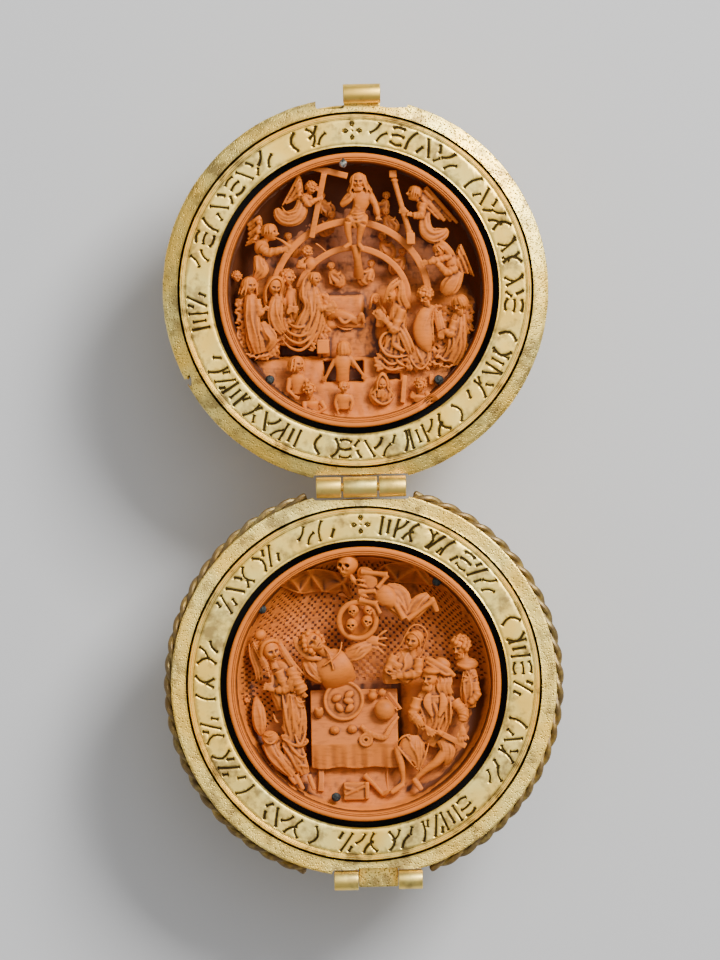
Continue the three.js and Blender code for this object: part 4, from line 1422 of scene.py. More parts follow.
def judge(clay):
    """The nude judge seated on the rainbow, long hair on the shoulders, one hand to the chest."""
    place = clay.head((0.8, 15.9, -2.4), 1.2, turn=-6, nod=10)
    clay.long_hair(place, 1.55, 15, 1.32, 0.15, 0.14, seed=3)
    clay.beard(place, 0.25, 7, 0.1, seed=3)
    clay.neck(place, (1.0, 14.2, -2.9))
    clay.tube(((0.95, 14.7, -3.0), (1.05, 13.9, -2.75), (1.1, 12.9, -2.7), (0.75, 11.8, -2.8),
               (0.5, 10.9, -2.9), (0.45, 10.0, -3.2)),
              ((0.8, 0.5), (1.5, 0.75), (1.3, 0.8), (1.0, 0.68), (1.25, 0.8), (1.1, 0.7)), 24, 28,
              rounded_ends(0.08))
    for side in (-1, 1):
        clay.ball((1.05 + 0.52 * side, 13.62, -2.22), (0.5, 0.36, 0.2), fineness=3)
    clay.strand(((0.5, 11.8, -2.1), (0.7, 11.9, -2.05), (0.95, 11.7, -2.1)), 0.07)
    clay.ball((0.7, 12.3, -2.15), (0.6, 0.3, 0.14), fineness=3)
    clay.robe(((0.5, 11.4, -2.8, 1.1, 0.7), (0.45, 10.7, -2.6, 1.35, 0.9), (0.4, 9.9, -2.6, 1.4, 0.9),
               (0.5, 9.2, -2.8, 1.2, 0.7)), 8, 0.3, seed=91)
    for left, right, drop in ((11.3, 11.4, 0.3), (10.9, 11.1, 0.5), (10.2, 10.6, 0.5)):
        clay.swag((-0.6, left, -2.1), (1.7, right, -2.1), drop, 0.2, 0.45)
    clay.bare_limb(((2.15, 14.1, -2.95), (2.7, 13.2, -2.6), (3.1, 12.4, -2.4), (3.4, 11.4, -2.3),
                    (3.5, 10.8, -2.3)), (0.62, 0.56, 0.48, 0.42, 0.28))
    clay.hand((3.5, 10.9, -2.3), (3.7, 9.8, -2.2), splay=0.6)
    clay.bare_limb(((0, 14.2, -2.9), (-0.9, 13.4, -2.7), (-1.7, 12.4, -2.4)), (0.62, 0.56, 0.48))
    clay.bare_limb(((-1.8, 12.4, -2.4), (-1, 12.8, -1.9), (-0.3, 13.3, -1.6)), (0.48, 0.42, 0.3))
    clay.hand((-0.4, 13.2, -1.6), (0.1, 14.4, -1.4), splay=0.5)
    for shift, knee, heel, toe in ((0, (-0.9, 10, -1.8), (-0.6, 6.8, -2.7), (-1.6, 6.2, -2.3)),
                                   (1.3, (1.3, 9.6, -1.9), (0.6, 6.8, -2.8), (1.3, 5.7, -2.3))):
        shin = Vector(knee).lerp(Vector(heel), 0.4) + Vector((-0.15, 0, 0))
        clay.bare_limb(((0.1 + shift, 10.8, -3),
                        Vector((0.1 + shift, 10.8, -3)).lerp(Vector(knee), 0.6), knee), (0.7, 0.72, 0.6))
        clay.bare_limb((knee, shin, heel), (0.56, 0.52, 0.3))
        clay.foot(heel, toe, 0.32)
    clay.tube(((0.1, 6.6, -3.6), (0.3, 5.2, -3.6), (0.45, 3.6, -4.6), (0.5, 2.2, -6.2)),
              (0.8, 0.6, 0.62, 0.8), 16, 12)


def cross_bearer(clay):
    """A small curly-haired angel who holds the cross."""
    place = clay.head((-6.1, 15, -2.3), 0.88, turn=30, nod=22, lean=-8)
    clay.curls(place, 54, seed=4, size=0.22)
    clay.neck(place, (-6.7, 13.9, -2.9), 0.4)
    clay.ball((-6.9, 13.5, -2.8), (1.0, 0.82, 0.75), fineness=3)
    clay.arm((-7.3, 13.7, -2.2), (-6.6, 12.6, -1.9),
             (-5.4, 13.3, -1.9), (-4.3, 13.6, -2), 0.5, 0.34, seed=2)
    clay.wing(((-7.6, 13.7, -3), (-7.6, 15.2, -2.8), (-7.8, 16.9, -2.9)),
              ((-1.6, -0.5, -0.3), (-2.6, -4.4, -0.6)), 6, 0.16)
    clay.robe(((-7.5, 13.1, -2.8, 0.75, 0.6), (-7.7, 11.9, -2.5, 1, 0.7),
               (-8.4, 10.9, -2.4, 1.15, 0.75), (-9.8, 10.6, -2.4, 1.05, 0.75),
               (-10.8, 11.2, -2.5, 0.85, 0.65), (-11.2, 12.1, -2.7, 0.4, 0.4)), 9, 0.26, seed=5)
    clay.strand(((-11.4, 10.4, -2.3), (-9.6, 9.7, -2.2), (-7.3, 11.1, -2.2)), 0.2)
    clay.strand(((-10.5, 12.5, -2.5), (-9.6, 11.4, -1.7), (-7.7, 12, -1.9)), 0.16)


def trumpeter(clay):
    """The angel who blows a trumpet."""
    place = clay.head((-12.2, 8.7, -2.5), 1.24, turn=68, nod=2, lean=4)
    clay.swept_hair(place, 15, 0.55, 0.13, seed=8)
    clay.neck(place, (-13.2, 7.3, -3))
    clay.ball((-13.5, 6.5, -2.9), (1.1, 1.2, 0.9), fineness=3)
    clay.tube(((-11.5, 7.9, -2.2), (-10.5, 7.4, -2), (-9.3, 6.4, -1.9)), (0.1, 0.2, 0.3), 12, 8)
    clay.arm((-13.6, 6.5, -2.3), (-12.6, 5.7, -2), (-10.5, 6.1, -1.9), (-8.9, 6.5, -1.9),
             0.68, 0.5, seed=3)
    clay.robe(((-13.9, 5.3, -2.9, 0.8, 0.6), (-13.8, 4.1, -2.6, 1, 0.75), (-13.6, 3.2, -2.5, 1.05, 0.75),
               (-14.1, 2.5, -2.7, 0.8, 0.6), (-14.7, 1.8, -3, 0.35, 0.35)), 7, 0.3, seed=9)
    clay.wing(((-14.5, 7.4, -3.1), (-13.7, 8.9, -3.1), (-13.5, 11, -3.2)),
              ((-1.4, -0.6, -0.3), (-2.0, -1.2, -0.5)), 6, 0.18)


def column_bearer(clay):
    """The angel in profile who holds the column."""
    place = clay.head((8.8, 13.9, -2.5), 1.08, turn=-72, nod=-6, lean=-6)
    clay.swept_hair(place, 13, 0.75, 0.16, seed=11)
    clay.neck(place, (9.8, 12.8, -3))
    clay.ball((10.1, 12, -2.9), (1.0, 1.1, 0.85), fineness=3)
    clay.arm((10.1, 12.4, -2.3), (9.7, 10.7, -2), (8.6, 10.6, -1.9), (7.6, 11, -1.9), 0.62, 0.5, seed=4)
    clay.hand((7.8, 11.2, -2.3), (6.4, 11.6, -2.5), 1.0)
    clay.wing(((10.7, 11.6, -3.1), (9.9, 13.2, -3), (10.5, 14.8, -3)),
              ((1.2, -1.2, -0.3), (4.6, -5.4, -0.8)), 6, 0.16)
    clay.robe(((10.4, 11, -2.9, 0.72, 0.55), (10.3, 9.7, -2.6, 0.85, 0.65), (10.5, 8.5, -2.5, 1, 0.7),
               (11.4, 7.7, -2.6, 1.1, 0.7), (12.8, 8, -2.9, 0.95, 0.6), (13.5, 8.6, -3.2, 0.35, 0.35)),
              8, 0.32, seed=13)


def lower_right_angel(clay):
    """The hooded angel below the column, both arms towards the rainbow."""
    place = clay.head((12.3, 5.6, -2.5), 0.98, turn=-58, nod=22, lean=14)
    clay.swept_hair(place, 9, 0.6, 0.13, seed=15)
    clay.bundle(((12.3, 6.7, -2.1), (13.2, 5.9, -1.9), (14.3, 4.5, -2.5)), 0.4, 4, 0.2, 0.06, seed=16)
    clay.neck(place, (13.6, 4.3, -3))
    clay.ball((14.2, 3.6, -2.9), (1.1, 1.3, 0.85), fineness=3)
    clay.arm((14, 4.7, -2.5), (12.3, 4.2, -2.2), (10.7, 3.8, -2), (9.4, 3.6, -2), 0.52, 0.42, seed=5)
    clay.arm((14.8, 2.9, -2.3), (13.3, 2.3, -2), (11.9, 3.7, -1.9), (11, 4.6, -1.9), 0.6, 0.44, seed=6)
    clay.wing(((14.8, 3.6, -3.1), (15, 5.3, -3), (15.4, 6.4, -3.1)),
              ((0.5, -1.6, -0.3), (1.9, -4.8, -0.8)), 6, 0.16)
    clay.robe(((15, 2.4, -2.9, 0.85, 0.6), (14.4, 1.2, -2.7, 1.2, 0.75), (13.5, 0.1, -2.7, 1.3, 0.75),
               (12.8, -0.7, -3.1, 0.8, 0.5)), 7, 0.14, seed=17)


def faint_figure(clay, at, lean, seed):
    """A small seated figure in low relief, with curled cloth."""
    x, y, z = at
    place = clay.head((x - 0.4 * lean, y + 1.5, z + 0.35), 0.6, turn=20 * lean, nod=10, fineness=3)
    clay.swept_hair(place, 9, 0.8, 0.16, seed)
    clay.robe(((x - 0.3 * lean, y + 0.9, z, 0.5, 0.4), (x, y + 0.1, z + 0.2, 0.85, 0.5),
               (x + 0.5 * lean, y - 0.7, z + 0.2, 1.15, 0.5), (x + 0.2 * lean, y - 1.4, z, 0.7, 0.35)),
              7, 0.35, seed)
    clay.strand(((x - 0.5 * lean, y + 0.7, z + 0.4), (x + 0.6 * lean, y + 0.3, z + 0.75),
                 (x + 1.1 * lean, y + 0.9, z + 0.5)), 0.22)


def little_angel(clay):
    """The small curly angel between the two bows of the rainbow."""
    place = clay.head((-6.9, 5.8, -4.4), 0.82, turn=25, nod=15)
    clay.curls(place, 44, seed=21, size=0.24)
    clay.ball((-6.5, 4.1, -5), (0.95, 1.0, 0.7), fineness=3)
    clay.arm((-7.2, 3.7, -4.5), (-8.1, 3.8, -4.3), (-7.8, 4.5, -4.1), (-7.1, 5, -4), 0.5, 0.4, seed=7)
    clay.tube(((-5.8, 7.1, -4.9), (-4.8, 6.4, -5), (-3.5, 5, -5.4)),
              ((0.16, 0.1),) * 3, 8, 10, rounded_ends(0.2))


class CarveHeaven(bpy.types.Operator):
    """Carve the judge on the rainbow between the angels who bear the cross and the column."""

    bl_idname = "bead.carve_heaven"
    bl_label = "Heaven"

    def execute(self, context):
        clay = Carving()
        judge(clay)
        clay.arch((-0.7, -0.9), 10.95, (-4, 172), -4.6, 0.52, 0.5, 0.3)
        clay.arch((-0.4, -1.1), 7.35, (-12, 168), -5.0, 0.46, 0.45, 0.7)
        clay.beam((-4.2, 17, -2.5), (-6.2, 7.8, -3.4), 0.42, 0.36)
        clay.beam((-6.9, 18.3, -2.7), (-0.8, 16.6, -2.8), 0.46, 0.36)
        clay.slab((5.25, 16.2, -3.1), (6.35, 17.3, -1.9))
        clay.ball((6.0, 15.85, -2.5), (0.6, 0.2, 0.5), fineness=3)
        clay.tube(((6.0, 15.7, -2.5), (6.9, 12.3, -2.6), (7.9, 8.6, -3.0)), (0.4, 0.4, 0.46), 16, 12)
        clay.ball((7.3, 10.8, -2.7), (0.5, 0.3, 0.45), fineness=3)
        clay.ball((8, 8.4, -3.0), (0.6, 0.2, 0.5), fineness=3)
        clay.slab((7.55, 6.5, -3.6), (8.8, 8.2, -2.4))
        for figure in (cross_bearer, trumpeter, column_bearer, lower_right_angel, little_angel):
            figure(clay)
        faint = (((-4.3, 12.4, -7.4), 1), ((-3.6, 9.6, -7.2), -1), ((4.4, 12.3, -7.4), -1),
                 ((5.0, 9.9, -7.2), 1), ((4.4, 6.3, -7.0), 1), ((6.6, 4.0, -6.8), -1),
                 ((-3.1, 2.2, -6.8), 1), ((2.0, 2.4, -6.6), -1), ((-9.3, 6.6, -6.6), 1))
        for index, (at, lean) in enumerate(faint):
            faint_figure(clay, at, lean, 30 + index)
        clay.fuse("heaven", UPPER, "upper")
        return {"FINISHED"}


def left_saints(clay):
    """The standing woman, the veiled woman and the curly head behind them."""
    place = clay.head((-15.4, 1.1, -2.7), 1.22, turn=32, nod=8)
    clay.long_hair(place, 1.2, 13, 1.1, 0.14, 0.1, seed=41)
    clay.neck(place, (-15.3, -0.5, -3.2))
    clay.robe(((-15.3, -0.3, -3.2, 0.8, 0.55), (-15.2, -1.5, -3, 1.1, 0.8),
               (-15.1, -3.5, -3, 1.15, 0.85), (-14.9, -5.2, -3, 1.15, 0.85),
               (-14.5, -7, -3.2, 1.5, 0.85), (-14.1, -8.7, -3.7, 1.3, 0.7)), 9, 0.2, seed=42)
    clay.robe(((-13.7, -4.4, -3.3, 0.6, 0.5), (-13.1, -5.7, -3, 1, 0.7), (-12.5, -6.9, -3, 1, 0.7),
               (-13.3, -8.2, -3.6, 0.8, 0.5)), 5, 0.26, seed=43)
    clay.arm((-14.3, -1, -2.8), (-13.9, -3, -2.6),
             (-13.5, -2.6, -2.4), (-12.7, -2, -2.3), 0.55, 0.4, seed=8)
    clay.folds(((-16.5, -0.3, -3.9), (-16.2, -0.9, -3.6)), ((-16.7, -6.7, -4.1), (-15.9, -7.6, -3.9)), 5,
               0.2, 0.1, seed=44)
    clay.hem(((-16, -8.9, -3.4), (-14.7, -9.4, -3.4), (-13, -9.1, -3.6)), 0.5, seed=45)

    small = clay.head((-17.2, 2.4, -3.6), 0.8, turn=20)
    clay.curls(small, 40, seed=47)

    place = clay.head((-11.8, 0.9, -2.7), 1.22, turn=24, nod=18, lean=-6)
    clay.veil(place, (-13, -1.6, -3.1), (-10.7, -1.5, -3.2), 0.16)
    clay.neck(place, (-11.4, -1, -3.2))
    clay.robe(((-11.5, -0.7, -3.3, 0.8, 0.6), (-11.7, -2.1, -3, 1.15, 0.8), (-11.8, -3.5, -3, 1.1, 0.8),
               (-11.4, -5, -3.3, 0.9, 0.7), (-10.7, -5.9, -3.8, 0.6, 0.5)), 6, 0.3, seed=49)

    place = clay.head((-9.8, 2.1, -4), 1.12, turn=38, nod=6)
    clay.curls(place, 60, seed=50, size=0.22)
    clay.neck(place, (-9.4, 0.1, -4.6))
    clay.robe(((-9.3, 0.4, -4.6, 0.8, 0.6), (-9.3, -1.1, -4.3, 1.1, 0.8), (-9.3, -2.9, -4.4, 1, 0.7),
               (-9.2, -4.5, -5.2, 0.9, 0.6)), 6, 0.24, seed=51)
    clay.hand((-9.9, -3.1, -3.4), (-9.2, -1.8, -3.2))
    clay.hand((-8.8, -3.1, -3.4), (-8.8, -1.9, -3.2))


def left_kneeler(clay):
    """The kneeling woman whose hair streams down her back, with praying hands."""
    place = clay.head((-5.9, 1.8, -2.9), 0.98, turn=45, nod=2)
    clay.swept_hair(place, 11, 0.5, 0.15, seed=52)
    clay.bundle(((-6.3, 2.6, -2.7), (-7, 1.4, -2.6), (-7.3, -0.5, -2.5), (-6.8, -2.2, -2.5),
                 (-7.6, -3.9, -2.6), (-8.4, -5.5, -2.9), (-9.1, -6.4, -3.2)), 0.62, 6, 0.2, 0.16, seed=52)
    clay.neck(place, (-6, 0, -3.3))
    clay.robe(((-6.2, 0.5, -3.4, 0.8, 0.6), (-6.1, -1.1, -3.1, 1.2, 0.8), (-6.1, -2.9, -3.1, 1.3, 0.9),
               (-6.7, -4.8, -3.3, 1.6, 0.9), (-7.7, -6.6, -3.6, 1.9, 0.9), (-8, -7.8, -4.2, 1.5, 0.6)),
              10, 0.26, seed=53)
    clay.arm((-5.6, -0.7, -2.9), (-5.2, -2.5, -2.6),
             (-4.3, -2.4, -2.4), (-2.8, -1.7, -2.3), 0.6, 0.42, seed=9)
    clay.hand((-4.2, -2.8, -2.5), (-2.5, -2.2, -2.5))
    for first, last, drop in (((-9.8, -4.5, -3), (-6.9, -4.5, -2.9), 0.7),
                              ((-10.3, -5.3, -3), (-6.1, -5, -2.9), 1.3),
                              ((-10.6, -5.9, -3.1), (-5.7, -5.1, -2.9), 2.0),
                              ((-10.8, -6.8, -3.4), (-5.4, -5.4, -3.1), 2.4)):
        clay.swag(first, last, drop, 0.24, 0.45)
    clay.folds(((-5.5, -2.6, -2.8), (-4.6, -3.4, -3.2)), ((-7.2, -6.9, -3), (-5.3, -6.6, -3.4)), 5,
               0.2, 0.15, seed=54)
    clay.hem(((-6.8, -6.6, -3.1), (-6.2, -7.8, -3.1), (-6.7, -8.5, -3.4)), 0.5, seed=55)
    clay.slab((-5.8, -9.1, -4.9), (-4, -7, -3.4), 0.1)


class CarveSaintsLeft(bpy.types.Operator):
    """Carve the kneeling and standing saints on the left of the judgement."""

    bl_idname = "bead.carve_saints_left"
    bl_label = "Saints on the left"

    def execute(self, context):
        clay = Carving()
        left_saints(clay)
        left_kneeler(clay)
        clay.heap((-17.3, -15.8, -7.6, -0.6), -3.8, 0.45, 305)
        clay.heap((-16.4, -11.6, -9.5, -6.6), -4, 0.5, 306)
        clay.heap((-13.8, -4.2, -6.8, -0.6), -4.6, 0.55, 307)
        clay.fuse("saints_left", UPPER, "upper")
        return {"FINISHED"}


def right_kneeler(clay):
    """The veiled woman who kneels with praying hands, her robe thrown in a spiral."""
    place = clay.head((5.2, -0.8, -2.8), 1.0, turn=-48, nod=26, lean=-6)
    clay.bundle(((6.5, 1.4, -2.3), (5.6, 0.7, -2), (4.8, -0.3, -2.1), (4.3, -2.1, -2.7)), 0.35, 3,
                0.2, 0.12, seed=61)
    clay.bundle(((6.6, 1.4, -2.4), (6.8, 0.1, -2.1), (6.8, -1.4, -2.3), (7.6, -2.9, -2.9)), 0.42, 4,
                0.22, 0.16, seed=62)
    clay.ball((6.3, -0.4, -3.1), (0.85, 1.5, 0.85), Matrix.Rotation(-0.2, 4, "Z"), 3)
    clay.neck(place, (5.8, -2.4, -3.3))
    clay.robe(((6.1, -2, -3.4, 0.8, 0.6), (6.1, -3.5, -3.1, 1.25, 0.85), (5.9, -5.4, -3.1, 1.3, 0.9),
               (5.7, -7.5, -3.3, 1.7, 0.9), (5.5, -9.2, -3.6, 2.2, 0.9), (5.3, -10.4, -4.1, 2.2, 0.7)),
              11, 0.16, seed=63)
    clay.arm((6.7, -2.9, -2.6), (5.5, -5.9, -2.2),
             (4.6, -4.9, -2.1), (3.5, -3.6, -2), 0.72, 0.42, seed=10)
    clay.hand((3.4, -4.3, -2.2), (2.6, -2.8, -2.2))
    clay.hand((3.6, -3.9, -2), (3.1, -2.8, -1.9))
    clay.tube(((5.3, -6, -2.5), (3.9, -6.5, -2.5), (3.4, -7.8, -2.6), (4.2, -9.3, -2.6),
               (5.7, -9.8, -2.6), (7.3, -9.6, -2.9)),
              ((0.12, 0.2), (0.22, 0.3), (0.26, 0.34), (0.26, 0.34), (0.24, 0.3), (0.1, 0.2)), 10, 34)
    clay.tube(((5.4, -6.7, -2.6), (4.5, -7.6, -2.7), (4.2, -8.6, -2.8), (5.1, -9.2, -2.8)),
              ((0.1, 0.2), (0.2, 0.3), (0.2, 0.28), (0.1, 0.2)), 10, 24)
    clay.tube(((5, -7.7, -2.8), (5.7, -8.2, -2.3), (6.9, -9.1, -2.5)),
              ((0.2, 0.2), (0.42, 0.34), (0.2, 0.2)), 12, 16)
    clay.bundle(((6.3, -5.4, -2.2), (7.2, -7.3, -2.1), (8, -9.4, -2.6)), 0.5, 3, 0.24, 0.05, seed=64)
    for first, middle, last in (((3, -10.1, -3.3), (4.6, -11.6, -3), (7.1, -11.3, -3.1)),
                                ((3.5, -9.6, -3), (4.8, -10.8, -2.9), (6.5, -10.4, -3)),
                                ((5.4, -9.8, -2.9), (6.2, -10.7, -2.8), (7.2, -11.2, -3))):
        clay.strand((first, middle, last), 0.22)
    upturned = clay.head((2.9, -1.4, -4.1), 0.66, turn=10, nod=-28, lean=-10)
    clay.veil(upturned, (2.1, -2.6, -4.5), (4.3, -3.4, -4.1), 0.24)
    clay.robe(((3.3, -2.4, -4.6, 0.5, 0.4), (3.7, -3.4, -4.5, 0.7, 0.5), (3.5, -5.3, -5.2, 0.8, 0.5)), 5,
              0.2, seed=65)


def right_saints(clay):
    """The bearded man in a smooth cape and the curly-haired man behind him."""
    place = clay.head((10.1, -0.9, -2.8), 1.15, turn=-52, nod=24, lean=14)
    clay.curls(place, 64, seed=66, size=0.24, low=-0.7)
    clay.beard(place, 0.55, 9, 0.16, seed=67)
    clay.tube(((11.2, -2.5, -3), (10.1, -3.7, -2.8), (9.7, -5.8, -2.7), (9.9, -7.5, -2.8),
               (10.4, -9, -3.2)), ((0.35, 0.3), (1.1, 0.8), (1.5, 0.95), (1.3, 0.9), (0.5, 0.5)), 30, 30)
    clay.strand(((11.1, -2.5, -2.5), (8.7, -4.6, -2.6), (8.4, -6.6, -2.5), (9.5, -8.8, -2.6)), 0.13)
    clay.strand(((11.3, -2.9, -2.4), (11.1, -4.9, -2.1), (11.3, -8.8, -2.6)), 0.13)
    clay.strand(((10.7, -3.7, -2), (9.9, -5.5, -1.8), (10, -7.5, -1.95)), 0.09)
    clay.bundle(((11.7, -3.3, -2.9), (12.1, -4.9, -2.6), (12.5, -6.9, -2.7)), 0.5, 4, 0.2, 0.06, seed=68)
    clay.hand((12.5, -6.1, -2.6), (12.1, -7.5, -2.4))
    clay.swag((7.7, -9.9, -3), (10.7, -9.9, -3), 1.7, 0.2, 0.2)
    clay.hem(((8, -9.3, -3.2), (9.4, -9.6, -3.1), (10.6, -9.2, -3.2)), 0.42, seed=69)
    clay.hem(((8, -10.3, -3.3), (9.5, -10.8, -3.2), (10.5, -10.2, -3.3)), 0.42, seed=70)
    clay.robe(((9.2, -8.1, -3.6, 1.4, 0.7), (9.3, -9.9, -3.6, 1.5, 0.7), (9.3, -11.2, -4, 1.2, 0.5)),
              8, 0.2, seed=71)

    place = clay.head((15.1, -2.2, -2.8), 1.18, turn=-46, nod=24, lean=4)
    clay.swept_hair(place, 17, 0.7, 0.17, seed=72)
    clay.beard(place, 0.5, 9, 0.14, seed=73)
    clay.neck(place, (14.9, -3.8, -3.3))
    clay.robe(((15.1, -3.7, -3.4, 0.9, 0.7), (14.8, -5.1, -3.1, 1.2, 0.85), (14.6, -6.9, -3.1, 1.3, 0.85),
               (14.3, -8.7, -3.3, 1.4, 0.85), (13.3, -10.4, -3.8, 1.5, 0.7)), 11, 0.28, seed=74)
    clay.arm((14.3, -4.7, -2.7), (13.7, -6.7, -2.4),
             (12.8, -6.1, -2.3), (12.1, -7.3, -2.3), 0.62, 0.42, seed=11)
    clay.folds(((14.9, -4.1, -2.6), (16, -4.4, -3)), ((13.9, -9.3, -2.9), (15.3, -9.3, -3.4)), 5,
               0.19, 0.1, seed=75)
    clay.hem(((11.6, -9.7, -3.3), (13, -10.4, -3.3), (14.8, -9.7, -3.5)), 0.55, seed=76)
    clay.hem(((11.2, -10.8, -3.5), (12.7, -11.4, -3.5), (13.9, -11.2, -3.6)), 0.5, seed=77)


class CarveSaintsRight(bpy.types.Operator):
    """Carve the kneeling woman and the bearded saints on the right of the judgement."""

    bl_idname = "bead.carve_saints_right"
    bl_label = "Saints on the right"

    def execute(self, context):
        clay = Carving()
        right_kneeler(clay)
        right_saints(clay)
        clay.heap((2.8, 6.5, -11.4, -9.4), -3.5, 0.5, 301)
        clay.heap((7, 10.6, -11.6, -9), -3.5, 0.5, 302)
        clay.heap((10.8, 16, -11, -6), -4, 0.55, 303)
        clay.heap((10.8, 16.8, -6, -2.6), -4.4, 0.5, 304)
        clay.fuse("saints_right", UPPER, "upper")
        return {"FINISHED"}


def rising(clay, head, chest, hips, left, right, tall=1.05, turn=0, nod=0, lean=0, hair=None, seed=0):
    """A nude figure seen to the waist; each arm is a list of shoulder, elbow and wrist."""
    place = clay.head(head, tall, turn, nod, lean)
    if hair == "curls":
        clay.curls(place, 50, seed, size=0.23)
    elif hair == "long":
        clay.long_hair(place, 0.8, 11, 1.05, 0.15, 0.08, seed)
    else:
        clay.swept_hair(place, 13, 0.6, 0.14, seed)
    clay.neck(place, Vector(chest) + Vector((0, 0.5, -0.2)))
    top, foot = Vector(chest), Vector(hips)
    clay.tube((top + (top - foot) * 0.3, top, top.lerp(foot, 0.5), foot),
              ((0.75, 0.45), (1.15, 0.65), (0.95, 0.6), (0.95, 0.6)), 22, 18, rounded_ends(0.12))
    for arm in (left, right):
        shoulder, elbow, wrist, tip = (Vector(p) for p in arm)
        clay.bare_limb((shoulder, shoulder.lerp(elbow, 0.5), elbow, elbow.lerp(wrist, 0.5), wrist),
                       (0.4, 0.4, 0.33, 0.28, 0.19))
        clay.hand(wrist, tip)


class CarveRisen(bpy.types.Operator):
    """Carve the dead who rise from their tombs at the foot of the judgement."""

    bl_idname = "bead.carve_risen"
    bl_label = "Risen dead"

    def execute(self, context):
        clay = Carving()
        rising(clay, (-8.8, -10.5, -2.3), (-8.7, -12.6, -2.9), (-8.7, -15, -3.2),
               ((-9.8, -12.4, -2.9), (-10.1, -14.2, -2.7), (-9.3, -15.1, -2.4), (-8.4, -15.6, -2.3)),
               ((-7.6, -12.6, -2.9), (-6.9, -14, -2.8), (-7.2, -14.9, -2.8), (-7.5, -15.3, -2.7)),
               1.18, 42, 6, 0, "long", 81)
        rising(clay, (-7, -14.3, -1.9), (-6.7, -16.2, -2.4), (-6.6, -17.5, -2.7),
               ((-7.8, -15.9, -2.3), (-7.7, -17.2, -2), (-6.7, -17.5, -1.8), (-5.5, -17.8, -1.8)),
               ((-5.4, -15.9, -2.3), (-4.8, -17, -2), (-5.8, -17.7, -1.9), (-6.9, -17.8, -1.8)),
               0.98, -12, 10, 6, "curls", 82)
        back = clay.head((-1.9, -8.2, -3.3), 1.0, turn=180, nod=-10)
        clay.long_hair(back, 0.9, 17, 1.0, 0.16, 0.06, seed=83)
        clay.tube(((-2, -9.1, -3.3), (-2.1, -10.1, -3.1), (-2.1, -11.7, -3.3), (-2.2, -13.3, -3.9)),
                  ((0.6, 0.4), (1.2, 0.62), (0.95, 0.58), (1.0, 0.6)), 22, 18, rounded_ends(0.1))
        clay.bare_limb(((-3.1, -9.9, -3.3), (-3.9, -11.2, -3.3), (-4.6, -12.6, -3.6)), (0.4, 0.3, 0.2))
        clay.hand((-4.5, -12.3, -3.5), (-5, -13.3, -3.8))
        clay.bare_limb(((-1, -9.7, -3.3), (-0.1, -11, -3.3), (0.9, -12.4, -3.6)), (0.4, 0.3, 0.2))
        clay.hand((0.7, -12.1, -3.5), (1.4, -13, -3.8))
        clay.bundle(((-1.7, -8.5, -2.9), (-1, -10, -3.1), (-0.3, -11.3, -3.5)),
                    0.25, 4, 0.12, 0.05, seed=84)
        rising(clay, (-2, -14, -1.7), (-2.1, -15.4, -2.3), (-2.2, -17.3, -2.6),
               ((-2.8, -15.1, -2.4), (-3.2, -16.3, -2.3), (-3, -17.5, -2.2), (-2.7, -18.1, -2.2)),
               ((-1.2, -15.1, -2.4), (-0.8, -16.3, -2.3), (-1.1, -17.5, -2.2), (-1.5, -17.9, -2.2)),
               0.82, 20, 8, 0, "swept", 85)
        shrouded = clay.head((3.6, -13.7, -2.3), 0.85, turn=5, nod=10)
        clay.veil(shrouded, (1.8, -15.2, -2.5), (5.2, -15.3, -2.5), 0.2, 0.6)
        clay.robe(((3.6, -12.7, -3.3, 0.7, 0.5), (3.6, -14.2, -3.1, 1.5, 0.8), (3.5, -15.5, -3, 1.8, 0.8),
                   (3.6, -16.6, -3.3, 1.3, 0.5)), 8, 0.14, seed=86)
        clay.hand((3, -15.5, -2.1), (3.3, -14.3, -1.9))
        clay.hand((3.6, -15.5, -2.1), (3.6, -14.4, -1.9))
        clay.swag((1.7, -14.9, -2.5), (5.4, -15.3, -2.5), 1.5, 0.22, 0.2)
        rising(clay, (9.1, -13.9, -2.2), (8.9, -15.5, -2.9), (8.8, -16.4, -3.2),
               ((8.2, -14.9, -2.9), (7.8, -15.6, -2.8), (8.3, -15.9, -2.6), (8.8, -15.9, -2.6)),
               ((9.8, -14.9, -2.9), (10.3, -15.4, -2.8), (9.8, -15.8, -2.6), (9.4, -15.8, -2.6)),
               0.95, -20, 12, 0, "curls", 87)
        clay.beam((6.9, -12.5, -3), (6.5, -16.5, -2.8), 0.36, 0.5)
        clay.slab((10.4, -13.9, -4), (11.1, -12.3, -3.2), 0.08)
        figure = clay.head((-1.2, -4.1, -5.9), 0.62, turn=-30, nod=30, lean=30)
        clay.curls(figure, 34, seed=88)
        clay.tube(((-4, -3.9, -6.3), (-2.7, -3.3, -5.7), (-0.8, -3.9, -5.6), (0.3, -4.7, -6)),
                  ((0.4, 0.3), (0.75, 0.5), (0.7, 0.5), (0.4, 0.3)), 16, 18)
        clay.bare_limb(((-2.7, -3.5, -5.6), (-1.8, -4.6, -5.2), (-0.7, -4.1, -5.3)), (0.34, 0.3, 0.2))
        clay.bare_limb(((0.3, -4.4, -5.8), (0.8, -3.4, -5.3), (1.2, -4.8, -5.8)), (0.36, 0.34, 0.24))
        clay.swag((-3.3, -4.6, -6.1), (-0.2, -5.3, -6.1), 0.6, 0.16, 0.2)
        clay.fuse("risen_dead", UPPER, "upper")
        return {"FINISHED"}


def edge_step(value, edge, soft=0.12):
    """From 0 below an edge to 1 above it."""
    return min(max((value - edge) / soft + 0.5, 0.0), 1.0)


def inside(x, y, box, soft=0.12):
    """1 inside a box of (left, right, bottom, top), 0 outside it."""
    left, right, bottom, top = box
    return (edge_step(x, left, soft) * (1 - edge_step(x, right, soft))
            * edge_step(y, bottom, soft) * (1 - edge_step(y, top, soft)))


